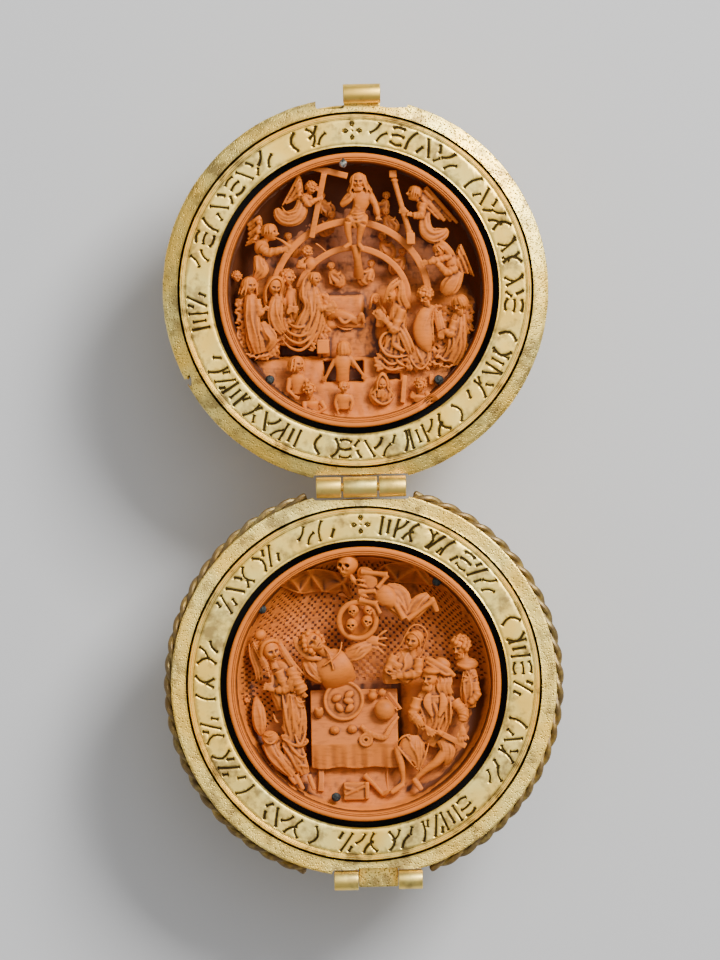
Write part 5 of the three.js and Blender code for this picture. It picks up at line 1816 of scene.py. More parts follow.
def judgement_ground(x, y):
    """Depth of the carved ground under the judgement: a stage that rises towards the front."""
    depth = float(np.interp(y, (-19, -9.9, -9.7, -5.4, 1, 4, 8),
                            (-2.9, -5.1, -5.7, -6.4, -7.6, -8.9, -9.6)))
    left = float(np.interp(y, (-8.6, -1, 5), (-4.5, -5.7, -9.6)))
    right = float(np.interp(y, (-9.8, -2, 4), (-4.3, -5.7, -9.6)))
    bank = 0.35 * math.sin(1.3 * y)
    depth += max(0, left - depth) * (1 - edge_step(x, -6.7 + bank, 1.6)) * edge_step(y, -8.4, 0.5)
    depth += max(0, right - depth) * edge_step(x, 3.7 + bank, 1.6) * edge_step(y, -9.7, 0.5)
    depth += 0.45 * inside(x, y, (-4.35, 1.0, -5.25, -0.65), 0.4)
    depth += 0.5 * inside(x, y, (-4.9, -4.0, -9.4, -6.9))
    for box, floor in (((-4.8, 0.8, -13.1, -10.1), -7.4), ((-11.2, -5.7, -9.35, -7.75), -7.8),
                       ((4.3, 6.2, -13.0, -12.1), -5.6)):
        depth += (floor - depth) * inside(x, y, box)
    return max(depth, recess(math.hypot(x, y), RECESS_DEPTH) - 0.12)


def ground_form(rule, cells=170):
    """A round sheet bent to a depth rule, with a back."""
    form = bmesh.new()
    sheet = bmesh.ops.create_grid(form, x_segments=cells, y_segments=cells, size=1)["verts"]
    for vertex in sheet:
        u, v = vertex.co.x, vertex.co.y
        x = GROUND_RADIUS * u * math.sqrt(1 - v * v / 2)
        y = GROUND_RADIUS * v * math.sqrt(1 - u * u / 2)
        cut = (0.12 * noise.noise(Vector((x * 0.9, y * 0.7, 3)))
               + 0.05 * noise.noise(Vector((x * 3, y * 2.2, 7))))
        vertex.co = (x, y, rule(x, y) + cut)
    rim = [e for e in form.edges if e.is_boundary]
    grown = bmesh.ops.extrude_edge_only(form, edges=rim)["geom"]
    for vertex in grown:
        if isinstance(vertex, bmesh.types.BMVert):
            vertex.co.z = GROUND_BACK
            vertex.co.xy *= 0.9
    bottom = [e for e in grown if isinstance(e, bmesh.types.BMEdge)]
    bmesh.ops.edgeloop_fill(form, edges=bottom)
    bmesh.ops.recalc_face_normals(form, faces=form.faces)
    return form


class CarveGround(bpy.types.Operator):
    """Carve the ground under the judgement, with its platform and open tombs."""

    bl_idname = "bead.carve_ground"
    bl_label = "Ground"

    def execute(self, context):
        mesh = evaluated(ground_form(judgement_ground), "judgement_ground", ("DECIMATE", {"ratio": 0.45}))
        new_piece("judgement_ground", mesh, UPPER, material(boxwood, "boxwood_carved"), "upper_half",
                  "boxwood", "upper_roundel", sharp=180, hollows=(4, 30, 0.1))
        return {"FINISHED"}


# The banquet with Death, in the lower half


def death(clay):
    """Death as a skeleton stretched over the table, with a striped cloth round the hips."""
    clay.head((-2, 17.3, -2.3), 1.8, turn=-30, nod=8, lean=-8, shape=skull_shape)
    clay.strand(((-1.7, 16, -2.6), (-1.3, 15.2, -2.2), (-0.9, 14.3, -2.5)), 0.4)
    clay.tube(((-0.7, 16.2, -3), (0.7, 15.7, -2.6), (1.2, 14.5, -2.6), (0.9, 12.9, -2.9)),
              ((0.8, 0.5), (1.2, 0.65), (1.1, 0.6), (0.8, 0.5)), 20, 16, rounded_ends(0.15))
    for share in spread(5, 0, 1):
        spine = Vector((-0.9, 15.1, -2.2)).lerp(Vector((-0.5, 12.2, -2.2)), share)
        clay.strand((spine, spine + Vector((0.8, -0.1, 0.3)), spine + Vector((1.7, -0.5, -0.1))),
                    0.22, 7, 12)
    for first, last, thick in (((-0.2, 16.3, -2.2), (3.8, 15.7, -1.9), 0.42),
                               ((3.8, 15.7, -1.9), (2.2, 13.8, -1.9), 0.34),
                               ((-0.6, 13.3, -2), (2, 13.4, -1.9), 0.36),
                               ((-0.5, 12.2, -2), (2.1, 11.5, -1.8), 0.42),
                               ((1.9, 11.6, -1.9), (2.6, 10.1, -1.8), 0.32)):
        clay.bone(first, last, thick)
    clay.tube(((1.7, 13.4, -2.8), (3, 12.9, -2.3), (4.1, 11.8, -2.3), (4.1, 10.9, -2.8)),
              ((0.8, 0.5), (1.5, 0.9), (1.3, 0.85), (0.7, 0.5)), 22, 16, rounded_ends(0.15))
    clay.robe(((3.3, 13.8, -3, 1, 0.6), (4.8, 12.5, -2.8, 1.9, 0.8), (5.7, 10.8, -2.7, 1.5, 0.8),
               (6.2, 9.3, -2.6, 0.8, 0.6)), 11, 0.3, seed=101)
    clay.robe(((9.8, 12.5, -3, 0.7, 0.5), (8.7, 11.7, -2.8, 1.3, 0.7), (7.3, 10.3, -2.7, 1.2, 0.7),
               (6.4, 9.2, -2.6, 0.6, 0.5)), 9, 0.3, seed=102)
    clay.bone((3.9, 13.1, -2.2), (6.1, 9.2, -1.8), 0.5)
    clay.bone((6.4, 9.1, -1.9), (10.5, 12, -2.2), 0.42)
    clay.foot((10.1, 12.1, -2.2), (10.9, 10.1, -2.4), 0.42)


def cloak(clay):
    """The cloak that billows behind Death, in shallow relief on the wall."""
    for low, high, pleats, lift in ((((-11.9, 14.4), (-8.9, 13.2), (-5.7, 13.4), (-1.6, 12.2)),
                                     ((-11.9, 14.7), (-8.9, 16.3), (-6.3, 16.8), (-1.8, 15.8)), 3.0, 0.6),
                                    (((1.5, 16), (4.2, 14.7), (7.4, 14.3), (10.4, 13.9)),
                                     ((2, 16.6), (4.2, 17.4), (7.5, 17.3), (9.9, 15.5)), 2.2, 0.3)):
        bottom = [Vector((*p, 0)) for p in low]
        top = [Vector((*p, 0)) for p in high]

        def place(u, v):
            at = along(bottom, u).lerp(along(top, u), v)
            first = 1 - abs(math.sin(math.pi * (pleats * u + 0.55 * v)))
            second = 1 - abs(math.sin(math.pi * (0.8 * pleats * u - 0.75 * v + 0.3)))
            at.z = cloth_depth(at.x, at.y) + lift + 0.95 * max(first, second) ** 1.5
            at.z -= 0.5 * max(0, abs(2 * u - 1) - 0.85) / 0.15
            return at

        clay.drape(place, -7, 70, 34)


def cloth_depth(x, y):
    """Depth of the concave wall behind the banquet."""
    out = math.hypot(x, y)
    return recess(out, LOWER_RECESS) + 0.15 - 0.35 * edge_step(out, 18.3, 0.4)


def basin(clay):
    """The basin of skulls."""
    middle = Vector((-0.75, 9.2, -2.6))
    rim = [middle + Vector((2.68 * math.cos(a), 2.62 * math.sin(a), 0.35 * math.sin(a)))
           for a in spread(33, 0, TURN)]
    clay.tube(rim, ((0.42, 0.4), (0.42, 0.4)), 12, 96)
    clay.ball(middle + Vector((0, 0, -1.35)), (2.5, 2.5, 0.75), fineness=4)
    for x, y, tall, turn, lean in ((-1.6, 8.5, 1.02, -14, 4), (0.6, 9, 0.98, 16, -14),
                                   (-1.3, 10.6, 0.95, -22, 10), (0.8, 10.6, 0.86, 20, 8)):
        clay.head((x, y, -2.4), tall, turn, 4, lean, shape=skull_shape)


class CarveDeath(bpy.types.Operator):
    """Carve Death with the cloak and the basin of skulls."""

    bl_idname = "bead.carve_death"
    bl_label = "Death"

    def execute(self, context):
        clay = Carving()
        death(clay)
        cloak(clay)
        basin(clay)
        clay.fuse("death_and_basin", LOWER, "lower")
        return {"FINISHED"}


def seated_lady(clay):
    """The seated woman on the left, with a padded veil, ribbons and a string of beads."""
    place = clay.head((-13.5, 5.1, -2.7), 1.62, turn=22, nod=16, lean=16)
    clay.lump(place, (-0.1, 0.35, -0.35), (0.9, 0.8, 0.8))
    clay.tube([place @ Vector(p) for p in ((0.85, 0.1, 0.1), (0.6, 0.75, 0.35), (0, 1.0, 0.4),
                                           (-0.65, 0.8, 0.3), (-0.95, 0.1, 0.05), (-0.9, -0.5, -0.1))],
              ((0.2, 0.3), (0.34, 0.5), (0.36, 0.55), (0.36, 0.5), (0.3, 0.4), (0.15, 0.3)), 12, 30)
    clay.ball((-14.9, 7.4, -2.5), (0.9, 0.8, 0.7), Matrix.Rotation(0.5, 4, "Z"), 3)
    clay.bundle(((-12.4, 6.5, -2.4), (-11.2, 4.4, -2.3), (-10.1, 2.7, -2.4), (-8.7, 1.1, -2.8)), 0.34, 3,
                0.17, 0.02, seed=103)
    beads = ((-15.9, 6.3, -2.5), (-15.1, 4.7, -2.2), (-14.2, 3.1, -2.1), (-13.7, 1.3, -2.2))
    for share in spread(16, 0, 1):
        clay.ball(along([Vector(p) for p in beads], share), (0.2, 0.2, 0.17), fineness=1)
    clay.strand([Vector(p) + Vector((0.3, 0.1, -0.05)) for p in beads], 0.1)
    clay.strand([Vector(p) - Vector((0.3, 0.1, 0.1)) for p in beads], 0.12)
    clay.bundle(((-16.2, 6.3, -3), (-16, 4.4, -3.1), (-15.4, 2.5, -3.3), (-15.1, 0.6, -3.6)), 0.4, 3,
                0.2, 0.04, seed=104)
    clay.neck(place, (-12.8, 2.5, -3.2), 0.4)
    clay.robe(((-12.8, 3, -3.4, 1, 0.6), (-11.8, 2.1, -3.2, 1.9, 0.9), (-11.8, 0.5, -3.2, 1.9, 1),
               (-11.9, -1.4, -3.4, 1.6, 0.9), (-11.3, -3.2, -3.7, 1.5, 0.8)), 8, 0.1, seed=105)
    clay.arm((-12.4, 2.1, -2.6), (-11.3, -0.4, -2.4),
             (-12.8, -0.8, -2.4), (-13.8, -0.5, -2.4), 0.8, 0.5, seed=12)
    clay.hand((-13.2, -0.6, -2.4), (-14.8, 0.1, -2.4))
    clay.arm((-10.6, 2.4, -2.7), (-9.8, 0.6, -2.2),
             (-8.9, -1, -2.4), (-8.3, -1.9, -2.7), 0.95, 0.9, seed=13)
    clay.bundle(((-9.9, 1.8, -1.9), (-10.4, 0.5, -1.6), (-10.9, -1, -2.1)), 0.55, 5, 0.15, 0.03, seed=106)
    clay.robe(((-10.7, -1.3, -3, 1.2, 0.6), (-10.4, -3.2, -2.9, 1.6, 0.8), (-10.3, -5.1, -3, 1.6, 0.8),
               (-10.1, -7.1, -3.2, 1.5, 0.7), (-10, -8.5, -3.4, 1.4, 0.6)), 9, 0.2, seed=107)
    for points, thick in ((((-11.9, -1.3, -2.3), (-11.5, -4.1, -2.3), (-11.1, -6.9, -2.5)), 0.24),
                          (((-10.7, -1.3, -2.1), (-10.4, -4.1, -2.1), (-10.4, -6.8, -2.4)), 0.2),
                          (((-9.9, -3.2, -2.3), (-9.6, -5, -2.3), (-9.9, -5.9, -2.5)), 0.2),
                          (((-8.7, -3, -2.6), (-8.6, -5, -2.7), (-8.6, -6.8, -2.9)), 0.2),
                          (((-10.1, -1.4, -2.1), (-9.4, -2.5, -2.2), (-8.4, -2.2, -2.5)), 0.16),
                          (((-10, -2, -2.2), (-9.4, -3.1, -2.2), (-8.5, -3, -2.5)), 0.15),
                          (((-10.2, -7.2, -2.5), (-9.4, -8.7, -2.4), (-8.4, -6.2, -2.8)), 0.24),
                          (((-12.1, -8.7, -2.7), (-10.9, -10.3, -2.7), (-9.8, -12.7, -3)), 0.24),
                          (((-11.4, -8.2, -2.6), (-10.2, -9.7, -2.5), (-8.7, -11.2, -2.9)), 0.24),
                          (((-12, -7.8, -2.7), (-10, -8.8, -2.4), (-8.5, -8.7, -2.8)), 0.22),
                          (((-10, -9.7, -2.6), (-9.1, -10.5, -2.6), (-8.5, -9.9, -2.9)), 0.2),
                          (((-9.9, -11.8, -2.8), (-9.2, -11.7, -2.8), (-8.4, -12, -3)), 0.2)):
        clay.strand(points, thick, 8, 16)
    clay.robe(((-11.1, -7.9, -3.3, 1.2, 0.6), (-10.3, -9.7, -3.3, 1.5, 0.7),
               (-9.4, -11.7, -3.4, 1.1, 0.6), (-8.9, -13, -3.6, 0.8, 0.5)), 8, 0.22, seed=108)
    for left, right in (((-10.1, -13.3, -3.2), (-9.1, -15.3, -2.9)),
                        ((-8.2, -13.3, -3.4), (-7.5, -15.4, -3)),
                        ((-11, -13.4, -3.3), (-10.1, -14.4, -3))):
        clay.foot(left, right, 0.36)
    clay.ball((-13.8, -7.6, -2.9), (1.25, 1.1, 0.9), fineness=4)
    clay.swag((-15, -7.4, -2.6), (-12.7, -7.6, -2.6), 0.9, 0.16, 0.7)
    clay.swag((-14.8, -6.9, -2.5), (-13, -6.7, -2.5), 0.5, 0.14, 0.6)
    clay.robe(((-14.1, -8.2, -3.1, 1.1, 0.7), (-13.3, -9.9, -3, 1.1, 0.7), (-11.9, -11.7, -3, 1, 0.6),
               (-10.6, -13.1, -3.3, 0.6, 0.4)), 8, 0.3, seed=133)
    clay.robe(((-15.7, -1.6, -4.2, 0.3, 0.3), (-15.5, -3.5, -3.7, 0.9, 0.6),
               (-15.3, -5.8, -3.7, 0.9, 0.6), (-15, -7.3, -4, 0.4, 0.4)), 6, 0.25, seed=134)
    clay.heap((-13.6, -11.6, -12.6, -7.6), -3.9, 0.5, 308)
    clay.heap((-11.8, -8.6, -8.8, -6), -3.2, 0.45, 309)
    for angle in spread(12, 0, 10):
        out = Vector((math.cos(angle), math.sin(angle), 0)) * (0.08 * angle)
        clay.ball(Vector((-17.1, -2, -4.4)) + out, (0.2, 0.2, 0.2), fineness=1)
    clay.strand(((-13.3, -4, -3.6), (-12.9, -5.2, -3.2), (-12.3, -5.4, -3.6)), 0.2)


def leaning_man(clay):
    """The man with his head thrown back, his chest bared and one hand flung out."""
    place = clay.head((-7.3, 6.1, -2.7), 1.72, turn=14, nod=-8, lean=52)
    clay.curls(place, 64, seed=109, size=0.24, low=-0.8)
    clay.bundle(((-9.8, 7, -2.9), (-9.4, 5.5, -2.5), (-8, 4.1, -2.4), (-6.1, 3.7, -2.7)), 0.3, 4, 0.17,
                0.03, seed=110)
    clay.neck(place, (-4.2, 3.6, -3.6), 0.5)
    clay.tube(((-5.3, 4.9, -3.9), (-4.8, 3.6, -3.3),
               (-4.1, 2, -3.2), (-3.6, 0.7, -4.2), (-3.3, -0.2, -5.2)),
              ((1.2, 0.5), (2.4, 0.95), (2.6, 1.1), (2.5, 0.95), (2.3, 0.6)), 26, 26, rounded_ends(0.1))
    clay.tube(((-6.5, 6.5, -2.7), (-5.6, 5.4, -2.2), (-4.8, 4, -1.8), (-4.4, 2.1, -1.9)),
              ((0.14, 0.2),) * 2, 8, 20)
    clay.tube(((-3.1, 6.1, -2.8), (-3.4, 4.8, -2.2), (-4.5, 3.7, -1.8), (-5.9, 2.7, -2)),
              ((0.14, 0.2),) * 2, 8, 20)
    clay.robe(((-2.4, 4.1, -3.4, 1, 0.6), (-1.2, 4.4, -3.2, 1.2, 0.8), (-0.2, 5, -3.2, 1.1, 0.7),
               (1.1, 5.5, -3.5, 0.8, 0.5)), 9, 0.2, seed=131)
    clay.hand((0.7, 6.3, -3.4), (3.6, 5.9, -3.2), 1.0, 0.9)
    clay.robe(((-7.8, 4.2, -3.9, 0.6, 0.5), (-7.9, 3, -3.5, 1, 0.7), (-7.2, 1.7, -3.4, 1.1, 0.7),
               (-5.9, 0.7, -3.6, 0.8, 0.5)), 9, 0.3, seed=132)


class CarveGuestsLeft(bpy.types.Operator):
    """Carve the seated woman and the leaning man."""

    bl_idname = "bead.carve_guests_left"
    bl_label = "Guests on the left"

    def execute(self, context):
        clay = Carving()
        seated_lady(clay)
        leaning_man(clay)
        clay.fuse("guests_left", LOWER, "lower")
        return {"FINISHED"}


def veiled_woman(clay):
    """The woman in a thin pointed veil, arms folded on the table."""
    place = clay.head((7.4, 6.1, -2.8), 1.42, turn=-28, nod=10, lean=-14)
    clay.lump(place, (0.05, 0.3, -0.25), (0.86, 0.86, 0.8))
    clay.tube([place @ Vector(p) for p in ((0.85, -0.5, 0.05), (0.74, 0.3, 0.3),
                                           (0, 0.82, 0.52), (-0.74, 0.3, 0.3), (-0.85, -0.5, 0.05))],
              ((0.16, 0.3), (0.2, 0.36), (0.16, 0.3)), 10, 26)
    clay.tube(((4.2, 4.3, -3.2), (5.3, 5.3, -2.8), (6.1, 6.8, -2.5), (6.8, 7.9, -2.3),
               (7.7, 8.4, -2.2), (8.7, 8, -2.3), (9.3, 7, -2.5), (9, 5.7, -2.8),
               (8.4, 4, -3.2)), ((0.12, 0.3), (0.14, 0.4), (0.14, 0.4), (0.12, 0.3)), 10, 44)
    clay.neck(place, (7.2, 3.5, -3.4), 0.4)
    clay.strand(((5.5, 4.7, -2.9), (6, 3.5, -2.7), (6.5, 2.4, -2.9)), 0.13)
    clay.strand(((8.6, 4.1, -3), (7.7, 3.2, -2.7), (7, 2.1, -2.8)), 0.13)
    clay.robe(((7.1, 4.6, -3.6, 0.9, 0.5), (6.5, 3.4, -3.4, 2, 0.8), (6, 2, -3.4, 2, 0.8),
               (4.6, 1.2, -3.6, 1.9, 0.7), (4.6, 0, -4, 1.6, 0.5)), 9, 0.14, seed=112)
    clay.arm((4.5, 4, -2.9), (3.5, 1.7, -2.7), (3.6, 1.8, -2.6), (5.1, 1.8, -2.6), 0.75, 0.5, seed=14)
    clay.arm((8.1, 3.5, -2.9), (7.8, 1.3, -2.7), (5.8, 1, -2.5), (3.8, 1.2, -2.5), 0.75, 0.5, seed=15)
    clay.bundle(((3.9, 3.5, -2.4), (4.6, 2.7, -2.2), (5.5, 2.1, -2.5)), 0.4, 4, 0.13, 0.03, seed=113)


def curly_man(clay):
    """The curly-haired man at the back on the right."""
    place = clay.head((14.1, 5.1, -3.1), 1.42, turn=-42, nod=16, lean=8)
    clay.curls(place, 60, seed=114, size=0.27)
    clay.beard(place, 0.1, 5, 0.12, seed=114)
    clay.neck(place, (14.8, 2.8, -3.8), 0.45)
    clay.ball((15, 2.5, -3.7), (1.7, 1.0, 0.75), fineness=3)
    clay.tube(((13.6, 2.5, -3.5), (14.8, 2.1, -3.2), (15.9, 2.2, -3.5)),
              ((0.3, 0.4), (0.5, 0.5), (0.3, 0.4)), 12, 14)
    clay.robe(((15.4, 1.6, -3.7, 1, 0.6), (15.4, 0.2, -3.4, 1.2, 0.8), (15.2, -1.7, -3.4, 1.2, 0.8),
               (15.2, -3.8, -3.8, 0.9, 0.6)), 8, 0.2, seed=115)
    for angle in spread(7, 0.3, 5.2):
        out = Vector((math.cos(angle), math.sin(angle), 0))
        clay.strand([Vector((15.4, 0.4, -2.65)) + out * r for r in (0.2, 0.8, 1.4)], 0.12)
    clay.arm((16.1, -0.2, -3), (16.4, -2, -2.8),
             (15.3, -3.2, -2.9), (14.6, -3.8, -3.1), 0.6, 0.5, seed=16)


def hat_man(clay):
    """The bearded man in a broad hat who sits in front of the table."""
    place = clay.head((9.6, 0.6, -2.5), 1.42, turn=-32, nod=10, lean=-6)
    clay.beard(place, 0.3, 9, 0.12, seed=116)
    clay.lump(place, (0, 0.16, -0.3), (0.76, 0.86, 0.74))
    clay.lump(place, (0.25, 0.78, 0.1), (0.95, 0.42, 0.85))
    for dx, seed in ((-0.1, 117), (0.55, 118), (1.15, 119)):
        clay.bundle(((10.9 + dx, 1.2, -2.6), (11.3 + dx, 0.2, -2.2),
                     (11.1 + dx, -0.8, -2.1), (11.6 + dx, -1.9, -2.4)), 0.3, 3, 0.2, 0.1, seed=seed)
    clay.tube(((9.1, 3.6, -2.5), (10.4, 2.8, -2.1), (11.9, 1.9, -2.1), (13.2, 0.8, -2.5)),
              ((0.3, 0.3), (0.5, 0.45), (0.5, 0.45), (0.3, 0.3)), 14, 22)
    clay.tube(((9, 3, -2.4), (10.2, 2.2, -1.9), (11.8, 1.1, -1.9), (12.8, 1.2, -2.4)),
              ((0.18, 0.3), (0.26, 0.4), (0.26, 0.4), (0.18, 0.3)), 12, 22)
    clay.ball((11.5, 2.7, -2.7), (1.2, 0.8, 0.8), Matrix.Rotation(-0.5, 4, "Z"), 3)
    clay.neck(place, (10.2, -1.7, -3.2), 0.45)
    clay.robe(((10.5, -1, -3.4, 1.3, 0.6), (10.3, -2.2, -3.1, 2.7, 0.9), (10.3, -3.8, -3.1, 2.7, 1),
               (10.1, -5.7, -3.2, 2.2, 0.9), (9.5, -7.5, -3.5, 2, 0.8), (8.8, -8.9, -3.8, 1.6, 0.6)),
              9, 0.1, seed=119)
    for first, middle, last in (((9.3, -1.9, -2.3), (9.6, -3.8, -2), (9.8, -5.9, -2.2)),
                                ((11.2, -1.8, -2.3), (11, -3.8, -2), (10.7, -6, -2.2)),
                                ((12.4, -2.2, -2.3), (12.5, -4.2, -2.1), (12.4, -6.7, -2.4)),
                                ((11.7, -1.9, -2.2), (11.8, -4.1, -2), (11.8, -6.7, -2.3))):
        clay.strand((first, middle, last), 0.17, 6, 16)
    for side in (-1, 1):
        clay.tube(((10.3 + 0.9 * side, -1.6, -2.3), (10.3 + 1.2 * side, -3, -1.9),
                   (10.3 + 0.5 * side, -5, -1.9)), ((0.3, 0.2), (0.62, 0.24), (0.2, 0.18)), 12, 16)
    for x in (-0.4, -0.2, 0, 0.2, 0.4):
        clay.strand([Vector((10.2, -1.9, -2.2)) + Vector((x, -y, 0.15 * y)) for y in (0, 0.5, 1.0)], 0.07)
    clay.swag((9.4, -1.9, -2.25), (11.1, -1.9, -2.25), 0.2, 0.1)
    clay.arm((7.7, -2.3, -2.8), (7, -4.8, -2.4), (8, -5.7, -2.1), (8.9, -6.9, -2.1), 0.85, 0.8, seed=17)
    clay.bundle(((6.9, -4.5, -1.7), (7.7, -5.4, -1.5), (8.3, -6.6, -1.7)), 0.5, 4, 0.14, 0.03, seed=120)
    clay.hand((8.9, -6.6, -2), (10.3, -7.7, -1.7))
    clay.arm((13.1, -2.8, -2.8), (14.4, -4.6, -2.4),
             (14.2, -5.8, -2.2), (14.1, -6.7, -2.1), 0.85, 0.62, seed=18)
    clay.hand((14.1, -6.8, -2.1), (14.4, -8.8, -1.9), 1.1)
    clay.beam((10.4, -7.1, -2.1), (14.6, -9.4, -2.2), 0.42, 0.2)
    clay.ball((10.9, -7.4, -1.9), (0.4, 0.4, 0.3), fineness=3)
    clay.robe(((6.8, -7.7, -3.2, 1, 0.6), (6.8, -9.1, -3, 1.9, 0.8), (7.3, -10.4, -3, 1.4, 0.7),
               (7.6, -11.7, -3.1, 0.8, 0.5), (7.6, -12.9, -3.2, 0.25, 0.3)), 8, 0.12, seed=121)
    for points in (((4.4, -8.8, -2.5), (5.8, -10.7, -2.3), (7.5, -12.8, -2.7)),
                   ((9.3, -8.5, -2.8), (8.7, -10.6, -2.5), (7.8, -12.8, -2.7)),
                   ((5.9, -7.6, -2.6), (6.5, -8.2, -2.3), (6.9, -8.8, -2.5)),
                   ((4.6, -8.7, -2.6), (5.5, -7.8, -2.5), (6.8, -7.4, -2.7)),
                   ((7.4, -8.3, -2.4), (7.4, -9.5, -2.2), (7.6, -10.7, -2.4))):
        clay.strand(points, 0.16, 6, 16)
    clay.bare_limb(((4.7, -9.2, -3.1), (4.8, -10.3, -2.9), (5.2, -12.1, -2.9), (5.4, -13.9, -3.1),
                    (5.3, -14.6, -3.1)), (0.6, 0.6, 0.5, 0.34, 0.36))
    clay.foot((5.3, -14.8, -3.1), (3.5, -16, -2.7), 0.4)
    clay.bare_limb(((11.5, -10.2, -3), (10.3, -11.6, -2.8), (8.6, -12.8, -2.9), (7.1, -14.1, -3.1)),
                   (0.8, 0.7, 0.5, 0.34))
    clay.foot((7, -14.1, -3), (8.1, -15.7, -2.6), 0.42)
    clay.robe(((11.1, -8.3, -3.2, 1, 0.6), (11.9, -9.5, -3, 1.1, 0.8), (11.9, -10.8, -3, 0.9, 0.7),
               (11.6, -12, -3.4, 0.5, 0.4)), 6, 0.2, seed=122)
    clay.bare_limb(((-0.3, -13.3, -4.6), (1.2, -14.8, -4), (2.6, -16.4, -3.5)), (0.5, 0.42, 0.3))
    clay.foot((2.5, -16.2, -3.6), (3.5, -15.6, -3), 0.34)


class CarveGuestsRight(bpy.types.Operator):
    """Carve the veiled woman, the curly-haired man and the man in the hat."""

    bl_idname = "bead.carve_guests_right"
    bl_label = "Guests on the right"

    def execute(self, context):
        clay = Carving()
        veiled_woman(clay)
        curly_man(clay)
        hat_man(clay)
        clay.fuse("guests_right", LOWER, "lower")
        return {"FINISHED"}


def table_depth(y):
    """Depth of the table's top, which tips towards the viewer."""
    return float(np.interp(y, (-8.8, -0.9), (-3.4, -5.6)))


def on_table(x, y, lift=0.0):
    """A place on the table's top."""
    return Vector((x, y, table_depth(y) + lift))


def table_cloth(clay):
    """The table top and the cloth that hangs in front of it."""
    def place(u, v):
        x = -7.85 + 12.65 * u + 0.02 * v
        y = float(np.interp(v, (0, 0.38, 0.42, 1), (-12.25, -9.3, -8.8, -0.9)))
        fold = 0.24 * math.sin(1.9 * x + 0.5) + 0.1 * math.sin(4.3 * x)
        if y < -8.8:
            down = (-8.8 - y) / 3.45
            return Vector((x, y + 0.12 * math.sin(1.3 * x) * down,
                           -3.5 - 0.5 * down + fold * down ** 0.6))
        return Vector((x, y, table_depth(y) - 0.08))

    clay.drape(place, -6.2, 120, 90)


def still_life(clay):
    """Plate of pears, cup, buns, loaf, ribbon, knife and ring roll on the table."""
    middle = on_table(-3.0, -2.45, 0.9)
    tip = Matrix.Rotation(-0.08, 4, "X")
    rim = [middle + tip @ Vector((2.72 * math.cos(a), 2.72 * math.sin(a), 0.1))
           for a in spread(33, 0, TURN)]
    clay.tube(rim, ((0.28, 0.3), (0.28, 0.3)), 10, 80)
    clay.ball(middle, (2.8, 2.8, 0.22), tip, 4)
    for x, y, angle in ((-1.1, 0.3, 0.5), (0.9, 0.9, -2.6), (0.8, -0.1, 2.9), (-0.6, -1.1, 2.2),
                        (0.9, -1.1, -2.4)):
        at = middle + tip @ Vector((x, y, 0.45))
        ahead = Vector((math.cos(angle), math.sin(angle), 0.1))
        clay.tube((at - ahead * 0.65, at, at + ahead * 0.5, at + ahead * 0.9),
                  (0.3, 0.5, 0.4, 0.1), 14, 12, rounded_ends(0.2))
    cup = on_table(-6.65, -4.6, 0)
    clay.tube((cup, cup + Vector((0, 0.5, 0.5)), cup + Vector((0, 1.1, 0.7))), (0.5, 0.7, 0.6), 16, 10)
    for x in (-0.35, 0.35):
        clay.ball(cup + Vector((x, 1.0, 0.9)), (0.3, 0.28, 0.25), fineness=2)
    for x, y in ((-4.4, -6.7), (-1.85, -6.6)):
        clay.ball(on_table(x, y, 0.3), (0.7, 0.6, 0.6), fineness=3)
        clay.strand([on_table(x + dx, y + 0.1, 0.95 - abs(dx)) for dx in (-0.4, 0, 0.4)], 0.08)
        clay.strand([on_table(x, y + dy, 0.95 - abs(dy)) for dy in (-0.4, 0, 0.4)], 0.08)
    ring = on_table(0.1, -8.2, 0.3)
    for radius, thick in ((0.85, 0.22), (0.4, 0.18)):
        roll = [ring + Vector((radius * math.cos(a), 0.95 * radius * math.sin(a), 0))
                for a in spread(17, 0, TURN)]
        clay.tube(roll, (thick, thick), 8, 36)
    loaf = Vector((2.9, -3.9, -3.6))
    clay.ball(loaf, (1.5, 1.6, 1.1), Matrix.Rotation(0.3, 4, "Z"), 4)
    clay.tube(((-0.6, -6.1, -3.6), (0.5, -7.1, -3.3),
               (2.7, -7.9, -3.1), (3.7, -6.5, -3.2), (4.9, -4.9, -3.7)),
              ((0.34, 0.16), (0.4, 0.2), (0.42, 0.22), (0.36, 0.2), (0.2, 0.14)), 12, 40, squared)
    for share in spread(9, 0.06, 0.6):
        path = [Vector(p) for p in ((-0.6, -6.1, -3.35), (0.5, -7.1, -3.05), (2.7, -7.9, -2.85),
                                    (3.7, -6.5, -2.95), (4.9, -4.9, -3.5))]
        clay.ball(along(path, share), (0.1, 0.1, 0.1), fineness=1)
    jug = Vector((1.2, -2.3, -4.8))
    clay.tube((jug, jug + Vector((0, 0.5, 0.4)), jug + Vector((0.05, 1.0, 0.5)),
               jug + Vector((0.05, 1.4, 0.5))), (0.5, 0.7, 0.5, 0.62), 16, 12)
    clay.bundle(((2.4, -2, -4.5), (2.6, -1.4, -4.2), (2.9, -0.8, -4.5)), 0.4, 5, 0.1, 0.06, seed=123)
    clay.beam((3.5, -1.4, -4.6), (5.3, -3.9, -4.1), 0.22, 0.16)
    clay.beam((3.1, -2, -4.5), (4.8, -4.1, -4.1), 0.12, 0.14)


